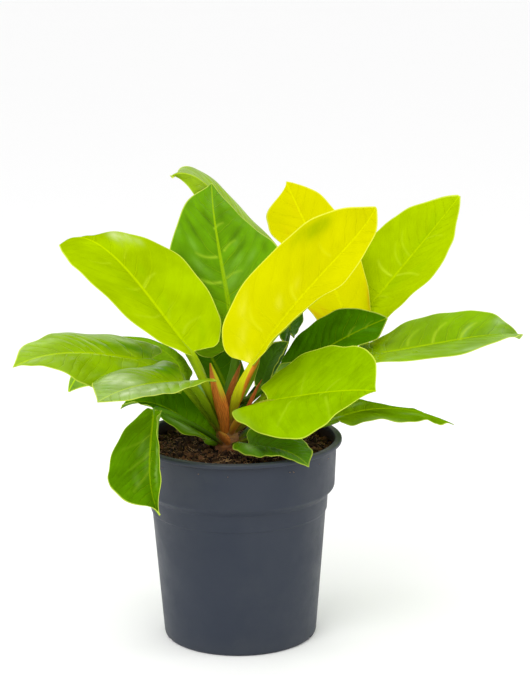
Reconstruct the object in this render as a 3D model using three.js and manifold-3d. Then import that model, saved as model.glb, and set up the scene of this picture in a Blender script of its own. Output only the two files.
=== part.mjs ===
// A potted philodendron: broad leaves, yellow when young and dark green when old, on thick
// stalks that spring from one short stem in a filled nursery container.
// Millimetres, +Z up, X to the right and Y away from the front, origin under the container's axis.
import * as THREE from "three";
import { mergeVertices } from "three/addons/utils/BufferGeometryUtils.js";
import Module from "manifold-3d";

const wasm = await Module();
wasm.setup();

// ---- container and soil ----
const TURN_STEPS = 44; // facets round the container
const POT_HEIGHT = 236.4;
const BASE_RADIUS = 89;
const BASE_ROUNDING = 2.5;
const BAND_FOOT = 152; // underside of the raised band
const BAND_TOP = 171; // where the wall turns out into the collar
const COLLAR_FOOT = 179.5;
const WALL_AT_BAND = 101;
const BAND_PROUD = 1.5;
const BAND_TOP_RADIUS = 103.6;
const COLLAR_FOOT_RADIUS = 111.4;
const COLLAR_TOP_RADIUS = 113.8;
const LIP_RADIUS = 120;
const LIP_HEIGHT = 5.5;
const LIP_ROUNDING = 1.3;
const WALL = 1.6;
const FLOOR = 2.6;
const FLOOR_HOLES = 6;
const FLOOR_HOLE_RADIUS = 6;
const FLOOR_HOLE_RING = 56;
const NOTCH_TURNS = [-157, -23, 23, 157]; // drain notches in the base edge
const NOTCH_WIDTH = 8;
const NOTCH_HEIGHT = 3.8;
const SOIL_LEVEL = 222;
const SOIL_ROUGHNESS = 2.2;
const SEAT = 0.3; // play between pieces that rest on each other

// ---- stem ----
const STEM_AXIS = [-13, 0];
const STEM_FOOT = 200;
const STEM_PROFILE = [
  // height, radius
  [200, 10.5],
  [216, 13.5],
  [226, 14.5],
  [246, 12.5],
  [262, 9.5],
  [270, 5.5],
];
const STEM_STEPS = 14;

// ---- leaves ----
const BLADE = 1; // thickness in the middle of a blade
const BLADE_EDGE = 0.7;
const RIB_DEPTH = 3.2; // midrib below the blade at its foot
const RIB_SHARE = 0.1; // half width of the midrib as a share of the blade's
const STALK_SIDES = 6;
const STALK_FLATNESS = 0.78;
const STALK_FOOT = 3.6; // half widths of a stalk
const STALK_MIDDLE = 5.9;
const STALK_TOP = 5;
const WIDEST = 0.42; // share of the outline's parameter at the widest place
const EDGE_STATIONS = [0.08, 0.22, 0.36, 0.5, 0.64, 0.78, 0.92]; // where "left" and "right" push the edge
const EDGE_SPREAD = 0.085;
const FINE = {
  along: [0, 0.07, 0.16, 0.27, 0.39, 0.51, 0.63, 0.75, 0.86, 0.94, 1],
  across: [-1, -0.72, -0.42, -RIB_SHARE, 0, RIB_SHARE, 0.42, 0.72, 1],
};
const COARSE = {
  along: [0, 0.1, 0.22, 0.36, 0.52, 0.68, 0.82, 0.93, 1],
  across: [-1, -0.55, -RIB_SHARE, 0, RIB_SHARE, 0.55, 1],
};

const COLOURS = {
  pot: 0x3f4651,
  soil: 0x4a3527,
  stem: 0x6b5a2c,
  yellow: 0xdfe000,
  lime: 0xa6cc00,
  fresh: 0x86b81e,
  green: 0x5b9a12,
  dark: 0x2f6408,
  sheath: 0xb86a35,
};
const ROUGHNESS = {
  pot: 0.5,
  soil: 0.95,
  stem: 0.6,
  yellow: 0.4,
  lime: 0.4,
  fresh: 0.38,
  green: 0.35,
  dark: 0.35,
  sheath: 0.6,
};

// Each leaf: "at" is where the stalk meets the blade; heading, pitch and roll are degrees at the
// blade's foot and tip; fold lifts both halves, curl bends the left and right half further.
// "foot" is the stalk's turn and height on the stem, "lean" its tilt out of the upright there.
const LEAVES = [
  {
    name: "leaf_01", colour: "lime", at: [-52, -33, 344], length: 252, half: 68,
    heading: [150, 131], pitch: [46, -43], roll: [-1, -7], bend: 3.2,
    fold: [30, -18], curl: [-9, 27], lobe: 0.4, wave: [2, 2.5, 0.1, 0.4],
    foot: [214, 257], lean: 24, stout: 1.25, reach: [0.4, 0.12],
    left: [0, -1.1, 1.2, 0, -1.2, 0, 0],
    right: [-2.7, 1.4, 0, 3.9, -2.5, -0.9, 0],
  },
  {
    name: "leaf_02", colour: "green", at: [-3, 39, 334], length: 215, half: 67,
    heading: [123, 91], pitch: [78, 35], roll: [-49, 41], bend: 1,
    fold: [14, -1], curl: [1, 15], lobe: 0.5, wave: [2, 3, 0.2, 0.7],
    foot: [104, 257], lean: 12, stout: 1,
    left: [0, 0, 0, 0, -1.7, 1.6, -3.5],
    right: [0, 0, 0, 4.8, -1.2, -1.4, 1.9],
  },
  {
    name: "leaf_03", colour: "fresh", at: [29, 142, 367], length: 217, half: 59,
    heading: [126, 233], pitch: [68, -18], roll: [-7, -49], bend: 3.8,
    fold: [1, -20], curl: [0, -14], lobe: 1, wave: [2, 2.5, 0.3, 0.6],
    foot: [56, 256], lean: 44, stout: 1,
    left: [0, 0, 0, 0, -0.8, -2.5, -7],
    right: [0, 0, 4.5, -4.9, -5.1, -1.2, -10.1],
  },
  {
    name: "leaf_04", colour: "yellow", at: [135, 99, 342], length: 229, half: 51,
    heading: [140, 101], pitch: [59, 17], roll: [-4, -34], bend: 1.7,
    fold: [-1, 3], curl: [8, -7], lobe: 0.7, wave: [2.5, 3, 0.5, 0.1],
    foot: [7, 243], lean: 58, stout: 1,
    left: [0, 3.7, 2.1, -13.2, 3.9, 12, -4.9],
    right: [0, 0.8, -3.2, -2, -1.3, 1.2, 0],
  },
  {
    name: "leaf_05", colour: "yellow", at: [17, -33, 330], length: 263, half: 61,
    heading: [32, -79], pitch: [53, 36], roll: [10, 117], bend: 1.7,
    fold: [39, 10], curl: [11, 37], lobe: 0.2, wave: [2, 3, 0.6, 0.2],
    foot: [308, 255], lean: 14, stout: 1.12,
    left: [-0.9, -1.1, 3.9, -3.2, 2, 1.2, 0],
    right: [0, 0, 1.4, -5.6, 1, -3, 2.5],
  },
  {
    name: "leaf_06", colour: "lime", at: [151, 152, 346], length: 194, half: 59,
    heading: [34, 25], pitch: [41, 47], roll: [10, 38], bend: 1.5,
    fold: [9, 26], curl: [-2, 6], lobe: 0.6, wave: [2, 3, 0.1, 0.5],
    foot: [40, 243], lean: 50, stout: 1,
    left: [0, 0, 0, -0.7, 0, 1.4, 4.1],
    right: [0, 1.5, -2.4, 2.1, 0.9, -1.9, 0.8],
  },
  {
    name: "leaf_07", colour: "dark", at: [53, 12, 307], length: 141, half: 48,
    heading: [14, 23], pitch: [28, 14], roll: [-19, 48], bend: 2.1,
    fold: [13, 18], curl: [-3, 2], lobe: 1, wave: [2, 2.5, 0.4, 0.8],
    foot: [6, 258], lean: 36, stout: 0.9,
    left: [0, 0, 0, 0, 0.8, 0, 1.9],
    right: [0, 0, 0, 0.9, -3.1, 1.2, 0],
  },
  {
    name: "leaf_08", colour: "green", at: [153, 10, 330], length: 218, half: 45,
    heading: [-19, 65], pitch: [11, -25], roll: [13, 30], bend: 2.2,
    fold: [4, 46], curl: [-25, -23], lobe: 1, wave: [2, 3, 0.2, 0.5],
    foot: [336, 243], lean: 48, stout: 1,
    left: [0, 0, 0.7, 0, -4.8, -2.6, -2.4],
    right: [0, 1.1, -1.8, 0.9, -1.9, -1.2, 0],
  },
  {
    name: "leaf_09", colour: "lime", at: [34, -62, 294], length: 196, half: 67,
    heading: [-39, -66], pitch: [17, 10], roll: [14, 46], bend: 1.8,
    fold: [16, 6], curl: [32, -76], lobe: 1.5, wave: [2, 2.5, 0.5, 0.2],
    foot: [299, 243], lean: 38, stout: 1.05,
    left: [-1.2, 0, -1, -4.2, 0.7, 3.7, -2.6],
    right: [-1.5, -4.3, 4.1, 6.7, -1, -1.8, -6.3],
  },
  {
    name: "leaf_10", colour: "green", at: [114, 10, 254], length: 177, half: 42,
    heading: [37, 26], pitch: [10, -30], roll: [1, 5], bend: 0.9,
    fold: [7, -13], curl: [-3, -10], lobe: 0.5, wave: [2.5, 3, 0.1, 0.4],
    foot: [345, 229], lean: 62, stout: 0.9,
    left: [0, -1.8, -6.6, 9, -9, 1.6, 8.9],
    right: [0, 2.6, -0.7, -0.9, 0, -1.1, -4.5],
  },
  {
    name: "leaf_11", colour: "dark", at: [13, -44, 235], length: 98, half: 34,
    heading: [-44, -48], pitch: [11, -33], roll: [13, -7], bend: 2.4,
    fold: [57, -3], curl: [-20, -91], lobe: 0.8, wave: [1.5, 2.5, 0.2, 0.6],
    foot: [306, 229], lean: 64, stout: 0.8,
    left: [0, 0, 0, -1.4, 0, 4.2, -0.8],
    right: [-3.8, 3.8, 1.7, -2.3, 0, -3, 0],
  },
  {
    name: "leaf_12", colour: "green", at: [-92, -92, 294], length: 149, half: 53,
    heading: [257, 289], pitch: [-79, -17], roll: [54, 32], bend: 0.5,
    fold: [0, 53], curl: [27, -1], lobe: 0, wave: [2, 2.5, 0.3, 0.6],
    foot: [241, 229], lean: 52, stout: 0.7, reach: [0.3, 0.05],
    left: [0, 0, 1.5, -1.8, -1.3, 3, -1.9],
    right: [-2, 0, 1.8, -1.7, -1.1, 3.6, -4.9],
  },
  {
    name: "leaf_13", colour: "fresh", at: [-100, -29, 333], length: 186, half: 45,
    heading: [205, 232], pitch: [17, -11], roll: [-43, -21], bend: 1.8,
    fold: [-7, 6], curl: [-49, -34], lobe: 1.3, wave: [2, 3, 0.2, 0.5],
    foot: [181, 243], lean: 34, stout: 1.12,
    left: [0, 0, 0, 0, 2.3, -7.7, -3.9],
    right: [4.5, -3.8, 0, 0.8, -3.8, 1.7, -1.6],
  },
  {
    name: "leaf_14", colour: "fresh", at: [-59, -55, 316], length: 187, half: 54,
    heading: [241, 244], pitch: [12, -5], roll: [-15, -10], bend: 1.9,
    fold: [29, -3], curl: [4, -72], lobe: 0.9, wave: [2, 2.5, 0.4, 0.1],
    foot: [216, 244], lean: 28, stout: 0.95,
    left: [-0.7, 0, 0, -1.4, 0, 1.6, -1.7],
    right: [3.6, 0.7, -4.1, 0.8, 1.4, 0, -1.9],
  },
  {
    name: "leaf_15", colour: "green", at: [-62, 32, 292], length: 197, half: 56,
    heading: [137, 185], pitch: [91, -65], roll: [31, -54], bend: 0.6,
    fold: [1, -24], curl: [-1, -13], lobe: 0.3, wave: [2, 2.5, 0.1, 0.7],
    foot: [124, 247], lean: 34, stout: 0.95, reach: [0.5, 0.12],
    left: [0, 0, 0, 0, 0, 4.2, 0],
    right: [0, -1.2, 2.7, -1.9, -1.2, 0, 0],
  },
  {
    name: "leaf_16", colour: "dark", at: [-35, -12, 236], length: 138, half: 46,
    heading: [140, 149], pitch: [29, -37], roll: [8, -20], bend: 2.1,
    fold: [14, 21], curl: [14, 17], lobe: 0.1, wave: [2, 2.5, 0.3, 0.8],
    foot: [204, 229], lean: 55, stout: 0.85,
    left: [-3, 10.2, 12.1, -6, -7.4, 3, 0],
    right: [0, 0, 0, -4.4, 0, 0, 0],
  },
  {
    name: "leaf_17", colour: "dark", at: [28, -14, 302], length: 71, half: 14,
    heading: [59, 51], pitch: [66, 2], roll: [-1, 14], bend: 1.1,
    fold: [9, 13], curl: [-1, -1], lobe: 0.6, wave: [1, 2.5, 0.2, 0.5],
    foot: [354, 266], lean: 26, stout: 0.7, coarse: true,
    left: [0, -1, -4.4, 0, 1.4, 2, 1.1],
    right: [0, 0, -2, -2, 0, 0, 0],
  },
  {
    name: "leaf_18", colour: "dark", at: [-12, 44, 279], length: 150, half: 34,
    heading: [124, 118], pitch: [46, 2], roll: [0, 0], bend: 1.5,
    fold: [14, 4], curl: [0, 0], lobe: 0.5, wave: [2, 2.5, 0.4, 0.9],
    foot: [84, 247], lean: 36, stout: 0.85, coarse: true,
  },
  {
    name: "leaf_19", colour: "dark", at: [60, 66, 344], length: 81, half: 25,
    heading: [137, 126], pitch: [95, 78], roll: [12, 4], bend: 1.4,
    fold: [8, 5], curl: [-2, 0], lobe: 1.3, wave: [2, 2.5, 0.1, 0.5],
    foot: [76, 229], lean: 38, stout: 0.85, coarse: true,
    left: [2.2, 2.5, 0, 0, 0, 0, 0],
    right: [0, -1, -2, 0, 0, 0, 0],
  },
  {
    name: "leaf_20", colour: "green", at: [-58, 100, 248], length: 165, half: 46,
    heading: [112, 124], pitch: [8, -35], roll: [0, 6], bend: 1.6,
    fold: [12, 2], curl: [-6, -6], lobe: 1, wave: [2, 2.5, 0.6, 0.1],
    foot: [150, 229], lean: 48, stout: 0.9, coarse: true,
  },
  {
    name: "leaf_21", colour: "green", at: [50, 92, 262], length: 165, half: 46,
    heading: [56, 48], pitch: [18, -30], roll: [0, -6], bend: 1.5,
    fold: [12, 2], curl: [-6, -6], lobe: 1, wave: [2, 2.5, 0.3, 0.8],
    foot: [25, 229], lean: 56, stout: 0.9, coarse: true,
  },
];

// Papery sheaths left by opened leaves: foot as above, "tip" where each one ends.
const SHEATHS = [
  { name: "sheath_1", foot: [258, 243], lean: 14, tip: [-30, -46, 335], half: 8.5 },
  { name: "sheath_2", foot: [276, 266], lean: 2, tip: [4, -8, 326], half: 4.5 },
  { name: "sheath_3", foot: [326, 250], lean: 50, tip: [28, -36, 313], half: 5.5 },
  { name: "sheath_4", foot: [274, 229], lean: 20, tip: [-22, -26, 250], half: 5 },
];
const SHEATH_ARC = 62; // degrees from the middle of a sheath to its edge
const SHEATH_THICK = 1.4;

const RAD = Math.PI / 180;
const vec = (x, y, z) => new THREE.Vector3(x, y, z);
const mix = (a, b, t) => a + (b - a) * t;
const clamp01 = (t) => Math.min(1, Math.max(0, t));

// Same sequence of numbers in 0..1 at every run.
function drawsFrom(seed) {
  let state = seed;
  return () => {
    state = (Math.imul(state, 1664525) + 1013904223) >>> 0;
    return state / 4294967296;
  };
}

function solidFrom(positions, triangles) {
  const geometry = new THREE.BufferGeometry();
  geometry.setAttribute("position", new THREE.Float32BufferAttribute(positions, 3));
  geometry.setIndex(triangles);
  const merged = mergeVertices(geometry, 1e-3);
  return new wasm.Manifold(
    new wasm.Mesh({
      numProp: 3,
      vertProperties: merged.attributes.position.array,
      triVerts: new Uint32Array(merged.index.array),
    }),
  );
}

function solidFromGeometry(source) {
  const geometry = source.clone();
  geometry.deleteAttribute("normal");
  geometry.deleteAttribute("uv");
  const merged = mergeVertices(geometry, 1e-3);
  return new wasm.Manifold(
    new wasm.Mesh({
      numProp: 3,
      vertProperties: merged.attributes.position.array,
      triVerts: new Uint32Array(merged.index.array),
    }),
  );
}

function meshFrom(solid, name, colour) {
  const data = solid.getMesh();
  const positions = new Float32Array(data.numVert * 3);
  for (let i = 0; i < data.numVert; i++)
    positions.set(data.vertProperties.subarray(i * data.numProp, i * data.numProp + 3), i * 3);
  const geometry = new THREE.BufferGeometry();
  geometry.setAttribute("position", new THREE.BufferAttribute(positions, 3));
  geometry.setIndex(Array.from(data.triVerts));
  geometry.computeVertexNormals();
  const material = new THREE.MeshStandardMaterial({
    color: COLOURS[colour],
    roughness: ROUGHNESS[colour],
    metalness: 0,
    name: colour,
  });
  const mesh = new THREE.Mesh(geometry, material);
  mesh.name = name;
  return mesh;
}

// A closed skin over rings of equal length, closed at both ends by a point.
function skinOver(rings, first, last) {
  const positions = [];
  const triangles = [];
  const count = rings[0].length;
  for (const ring of rings) for (const p of ring) positions.push(p.x, p.y, p.z);
  const firstIndex = rings.length * count;
  positions.push(first.x, first.y, first.z, last.x, last.y, last.z);
  for (let k = 0; k < count; k++) {
    const next = (k + 1) % count;
    triangles.push(firstIndex, next, k);
    for (let i = 0; i + 1 < rings.length; i++) {
      const a = i * count;
      const b = a + count;
      triangles.push(a + k, a + next, b + next);
      triangles.push(a + k, b + next, b + k);
    }
    const end = (rings.length - 1) * count;
    triangles.push(end + k, end + next, firstIndex + 1);
  }
  return solidFrom(positions, triangles);
}

// ---- container ----
function turned(profile) {
  const points = profile.map(([r, z]) => new THREE.Vector2(r, z));
  return solidFromGeometry(new THREE.LatheGeometry(points, TURN_STEPS).rotateX(Math.PI / 2));
}

const lipFoot = POT_HEIGHT - LIP_HEIGHT;
const wallOutside = [
  [BASE_RADIUS - BASE_ROUNDING, 0],
  [BASE_RADIUS - 0.5, BASE_ROUNDING * 0.6],
  [BASE_RADIUS + 0.3, BASE_ROUNDING * 1.8],
  [WALL_AT_BAND, BAND_FOOT - 1],
  [WALL_AT_BAND + BAND_PROUD, BAND_FOOT + 0.6],
  [BAND_TOP_RADIUS, BAND_TOP],
  [COLLAR_FOOT_RADIUS, COLLAR_FOOT],
  [COLLAR_TOP_RADIUS, lipFoot],
];
const lip = [
  [LIP_RADIUS - LIP_ROUNDING, lipFoot],
  [LIP_RADIUS, lipFoot + LIP_ROUNDING],
  [LIP_RADIUS, POT_HEIGHT - LIP_ROUNDING],
  [LIP_RADIUS - LIP_ROUNDING, POT_HEIGHT],
  [COLLAR_TOP_RADIUS - WALL + 0.8, POT_HEIGHT],
  [COLLAR_TOP_RADIUS - WALL, POT_HEIGHT - 0.8],
];
const wallInside = [
  [COLLAR_FOOT_RADIUS - WALL, COLLAR_FOOT + 0.6],
  [BAND_TOP_RADIUS - WALL, BAND_TOP + 0.6],
  [WALL_AT_BAND - WALL, BAND_FOOT],
  [BASE_RADIUS - WALL, FLOOR],
];

function upright(radius, low, high) {
  const steps = 16;
  const shape = new THREE.CylinderGeometry(radius, radius, high - low, steps);
  return solidFromGeometry(shape.rotateX(Math.PI / 2).translate(0, 0, (low + high) / 2));
}

function makePot() {
  const profile = [[0, 0], ...wallOutside, ...lip, ...wallInside, [0, FLOOR]];
  let pot = turned(profile.reverse());
  if (pot.volume() < 0) pot = turned(profile.reverse());
  for (let i = 0; i < FLOOR_HOLES; i++) {
    const turn = ((i + 0.5) / FLOOR_HOLES) * 2 * Math.PI;
    const hole = upright(FLOOR_HOLE_RADIUS, -5, FLOOR + 5).translate([
      FLOOR_HOLE_RING * Math.cos(turn),
      FLOOR_HOLE_RING * Math.sin(turn),
      0,
    ]);
    pot = pot.subtract(hole);
  }
  for (const turn of NOTCH_TURNS) {
    const box = new THREE.BoxGeometry(24, NOTCH_WIDTH, NOTCH_HEIGHT * 2);
    box.translate(BASE_RADIUS, 0, 0).rotateZ(turn * RAD);
    pot = pot.subtract(solidFromGeometry(box));
  }
  return pot;
}

// ---- stem and soil ----
function stemRadius(height) {
  const last = STEM_PROFILE.length - 1;
  for (let i = 0; i < last; i++) {
    const [z0, r0] = STEM_PROFILE[i];
    const [z1, r1] = STEM_PROFILE[i + 1];
    if (height <= z1) return mix(r0, r1, clamp01((height - z0) / (z1 - z0)));
  }
  return STEM_PROFILE[last][1];
}

function stemSolid(grown) {
  const rings = STEM_PROFILE.map(([z, r], i) => {
    const height = z + (i === 0 ? -grown : 0);
    const ring = [];
    for (let k = 0; k < STEM_STEPS; k++) {
      const turn = (k / STEM_STEPS) * 2 * Math.PI;
      const reach = r + grown;
      ring.push(
        vec(STEM_AXIS[0] + reach * Math.cos(turn), STEM_AXIS[1] + reach * Math.sin(turn), height),
      );
    }
    return ring;
  });
  const [top] = STEM_PROFILE[STEM_PROFILE.length - 1];
  return skinOver(
    rings,
    vec(STEM_AXIS[0], STEM_AXIS[1], STEM_FOOT - grown),
    vec(STEM_AXIS[0], STEM_AXIS[1], top + 3 + grown),
  );
}

function makeSoil(hole) {
  const draw = drawsFrom(7);
  const play = SEAT + 0.15;
  const ringAt = (radius, height, rough) => {
    const ring = [];
    for (let k = 0; k < TURN_STEPS; k++) {
      const turn = (k / TURN_STEPS) * 2 * Math.PI;
      const lift = rough ? (draw() - 0.5) * 2 * rough : 0;
      ring.push(vec(radius * Math.cos(turn), radius * Math.sin(turn), height + lift));
    }
    return ring;
  };
  const sides = [...wallInside].reverse().map(([r, z]) => [r - play, z]);
  sides[0][1] += play;
  const topRadius = mix(
    COLLAR_FOOT_RADIUS - WALL,
    COLLAR_TOP_RADIUS - WALL,
    (SOIL_LEVEL - COLLAR_FOOT) / (lipFoot - COLLAR_FOOT),
  );
  const rings = sides.map(([r, z]) => ringAt(r, z, 0));
  rings.push(ringAt(topRadius - play, SOIL_LEVEL - 1.2, 0));
  rings.push(ringAt(topRadius - 7, SOIL_LEVEL + 0.6, SOIL_ROUGHNESS * 0.7));
  for (const radius of [88, 70, 52, 34])
    rings.push(ringAt(radius, SOIL_LEVEL, SOIL_ROUGHNESS));
  const body = skinOver(
    rings,
    vec(0, 0, FLOOR + play),
    vec(0, 0, SOIL_LEVEL),
  );
  return body.subtract(hole);
}

// ---- leaves ----
function bezier(points, t) {
  const s = 1 - t;
  const weights = [s * s * s, 3 * s * s * t, 3 * s * t * t, t * t * t];
  return [0, 1].map((k) => points.reduce((sum, p, i) => sum + p[k] * weights[i], 0));
}

// Edge of a half blade: share of the length along, share of the half width across.
function edgeAt(u, lobe) {
  const basal = [
    [-0.085 * lobe, 0.4],
    [-0.1 * lobe, 0.78],
    [0.1, 1],
    [0.36, 1],
  ];
  const distal = [
    [0.36, 1],
    [0.66, 1],
    [0.86, 0.42],
    [1, 0.02],
  ];
  return u < WIDEST ? bezier(basal, u / WIDEST) : bezier(distal, (u - WIDEST) / (1 - WIDEST));
}

const SPINE_STEPS = 48;

function spineOf(leaf) {
  const frames = [];
  const point = vec(...leaf.at);
  for (let i = 0; i <= SPINE_STEPS; i++) {
    const u = i / SPINE_STEPS;
    const heading = mix(...leaf.heading, u) * RAD;
    const pitch = mix(...leaf.pitch, u ** leaf.bend) * RAD;
    const roll = mix(...leaf.roll, u) * RAD;
    const along = vec(
      Math.cos(pitch) * Math.cos(heading),
      Math.cos(pitch) * Math.sin(heading),
      Math.sin(pitch),
    );
    const level = vec(
      -Math.sin(pitch) * Math.cos(heading),
      -Math.sin(pitch) * Math.sin(heading),
      Math.cos(pitch),
    );
    const side = level.clone().cross(along);
    const left = side
      .clone()
      .multiplyScalar(Math.cos(roll))
      .addScaledVector(level, Math.sin(roll));
    const up = side
      .clone()
      .multiplyScalar(-Math.sin(roll))
      .addScaledVector(level, Math.cos(roll));
    if (i > 0) {
      const step = along.clone().add(frames[i - 1].along).multiplyScalar(0.5);
      point.addScaledVector(step, leaf.length / SPINE_STEPS);
    }
    frames.push({ point: point.clone(), along, left, up });
  }
  return (share) => {
    const place = clamp01(share) * SPINE_STEPS;
    const i = Math.min(SPINE_STEPS - 1, Math.floor(place));
    const t = place - i;
    const frame = {};
    for (const key of ["point", "along", "left", "up"])
      frame[key] = frames[i][key].clone().lerp(frames[i + 1][key], t);
    return frame;
  };
}

// A point of the blade's middle surface; v runs from the right edge, -1, to the left edge, 1.
function bladePoint(leaf, spine, u, v) {
  const reach = Math.abs(v);
  const hand = v >= 0 ? 1 : -1;
  const [edgeAlong, edgeAcross] = edgeAt(u, leaf.lobe);
  const start = u ** 1.15;
  const along = start + (edgeAlong - start) * reach ** 1.3;
  const width = edgeAcross * reach * leaf.half;
  const fold = mix(...leaf.fold, u) * RAD;
  const curl = (hand > 0 ? leaf.curl[0] : leaf.curl[1]) * RAD;
  const steps = 8;
  let out = 0;
  let lift = 0;
  for (let k = 0; k < steps; k++) {
    const place = ((k + 0.5) / steps) * edgeAcross * reach;
    const angle = fold + curl * place * place;
    out += (Math.cos(angle) * width) / steps;
    lift += (Math.sin(angle) * width) / steps;
  }
  const [height, count, leftPhase, rightPhase] = leaf.wave;
  const phase = hand > 0 ? leftPhase : rightPhase;
  const swell = height * reach ** 2 * clamp01(edgeAcross * 1.5);
  lift += swell * Math.sin(2 * Math.PI * (count * u + phase));
  const pushes = (hand > 0 ? leaf.left : leaf.right) ?? [];
  pushes.forEach((push, k) => {
    out += push * reach ** 2 * Math.exp(-(((u - EDGE_STATIONS[k]) / EDGE_SPREAD) ** 2));
  });
  const frame = spine(along);
  return frame.point
    .addScaledVector(frame.along, (along - clamp01(along)) * leaf.length)
    .addScaledVector(frame.left, hand * out)
    .addScaledVector(frame.up, lift);
}

function bladeNormal(leaf, spine, u, v) {
  const a = Math.min(u, 0.96);
  const du = bladePoint(leaf, spine, Math.min(a + 0.02, 1), v).sub(
    bladePoint(leaf, spine, Math.max(a - 0.02, 0), v),
  );
  const dv = bladePoint(leaf, spine, a, Math.min(v + 0.05, 1)).sub(
    bladePoint(leaf, spine, a, Math.max(v - 0.05, -1)),
  );
  return du.cross(dv).normalize();
}

// Upper and lower face of the blade with the same diagonals, and the rim between them.
function bladeSolid(leaf, spine) {
  const { along, across } = leaf.coarse ? COARSE : FINE;
  const positions = [];
  const triangles = [];
  const upper = [];
  const lower = [];
  for (const u of along) {
    const upperRow = [];
    const lowerRow = [];
    for (const v of across) {
      const point = bladePoint(leaf, spine, u, v);
      const normal = bladeNormal(leaf, spine, u, v);
      const half = mix(BLADE, BLADE_EDGE, v * v) / 2;
      const rib = v === 0 ? RIB_DEPTH * (1 - u) ** 0.8 : 0;
      const top = point.clone().addScaledVector(normal, half);
      const bottom = point.addScaledVector(normal, -half - rib);
      upperRow.push(positions.length / 3);
      positions.push(top.x, top.y, top.z);
      lowerRow.push(positions.length / 3);
      positions.push(bottom.x, bottom.y, bottom.z);
    }
    upper.push(upperRow);
    lower.push(lowerRow);
  }
  const quad = (a, b, c, d) => triangles.push(a, b, c, a, c, d);
  const rows = along.length - 1;
  const columns = across.length - 1;
  for (let i = 0; i < rows; i++)
    for (let j = 0; j < columns; j++) {
      quad(upper[i][j], upper[i + 1][j], upper[i + 1][j + 1], upper[i][j + 1]);
      triangles.push(lower[i][j], lower[i + 1][j + 1], lower[i + 1][j]);
      triangles.push(lower[i][j], lower[i][j + 1], lower[i + 1][j + 1]);
    }
  for (let i = 0; i < rows; i++) {
    quad(upper[i][0], lower[i][0], lower[i + 1][0], upper[i + 1][0]);
    quad(upper[i][columns], upper[i + 1][columns], lower[i + 1][columns], lower[i][columns]);
  }
  for (let j = 0; j < columns; j++) {
    quad(upper[0][j], upper[0][j + 1], lower[0][j + 1], lower[0][j]);
    quad(upper[rows][j], lower[rows][j], lower[rows][j + 1], upper[rows][j + 1]);
  }
  const solid = solidFrom(positions, triangles);
  return solid;
}

function footPoint([turn, height], inset) {
  const reach = stemRadius(height) - inset;
  return vec(
    STEM_AXIS[0] + reach * Math.cos(turn * RAD),
    STEM_AXIS[1] + reach * Math.sin(turn * RAD),
    height,
  );
}

function outOfStem([turn], lean) {
  return vec(
    Math.sin(lean * RAD) * Math.cos(turn * RAD),
    Math.sin(lean * RAD) * Math.sin(turn * RAD),
    Math.cos(lean * RAD),
  );
}

// The stalk: from inside the stem, out and up, and along the underside of the blade's foot.
function stalkSolid(leaf, spine) {
  const foot = footPoint(leaf.foot, 3);
  const base = vec(...leaf.at);
  const start = outOfStem(leaf.foot, leaf.lean);
  const { along, left, up } = spine(0);
  const span = foot.distanceTo(base);
  const [reachFoot, reachBlade] = leaf.reach ?? [0.35, 0.32];
  const end = base.clone().addScaledVector(up, -1.6);
  const curve = new THREE.CubicBezierCurve3(
    foot,
    foot.clone().addScaledVector(start, span * reachFoot),
    end.clone().addScaledVector(along, -span * reachBlade),
    end,
  );
  const tangentFoot = vec(-Math.sin(leaf.foot[0] * RAD), Math.cos(leaf.foot[0] * RAD), 0);
  if (tangentFoot.dot(left) < 0) tangentFoot.negate();
  const stations = leaf.coarse ? 6 : 7;
  const rings = [];
  const ringAt = (point, ahead, across, halfWidth) => {
    const wide = across.clone().addScaledVector(ahead, -across.dot(ahead)).normalize();
    const deep = ahead.clone().cross(wide);
    const ring = [];
    for (let k = 0; k < STALK_SIDES; k++) {
      const turn = ((k + 0.5) / STALK_SIDES) * 2 * Math.PI;
      ring.push(
        point
          .clone()
          .addScaledVector(wide, halfWidth * Math.cos(turn))
          .addScaledVector(deep, halfWidth * STALK_FLATNESS * Math.sin(turn)),
      );
    }
    rings.push(ring);
  };
  for (let i = 0; i <= stations; i++) {
    const t = i / stations;
    const swell = t < 0.4 ? mix(STALK_FOOT, STALK_MIDDLE, t / 0.4)
      : mix(STALK_MIDDLE, STALK_TOP, (t - 0.4) / 0.6);
    const across = tangentFoot.clone().lerp(left, t * t * (3 - 2 * t));
    ringAt(curve.getPoint(t), curve.getTangent(t), across, swell * leaf.stout);
  }
  for (const [share, halfWidth] of [[0.05, 2.8], [0.1, 1.2]]) {
    const frame = spine(share);
    const point = frame.point.addScaledVector(frame.up, -1.4);
    ringAt(point, frame.along, frame.left, halfWidth * leaf.stout);
  }
  const tip = spine(0.12);
  return skinOver(rings, foot, tip.point.addScaledVector(tip.up, -1));
}

function makeLeaf(leaf, grownStem) {
  const spine = spineOf(leaf);
  return bladeSolid(leaf, spine).add(stalkSolid(leaf, spine)).subtract(grownStem);
}

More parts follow.
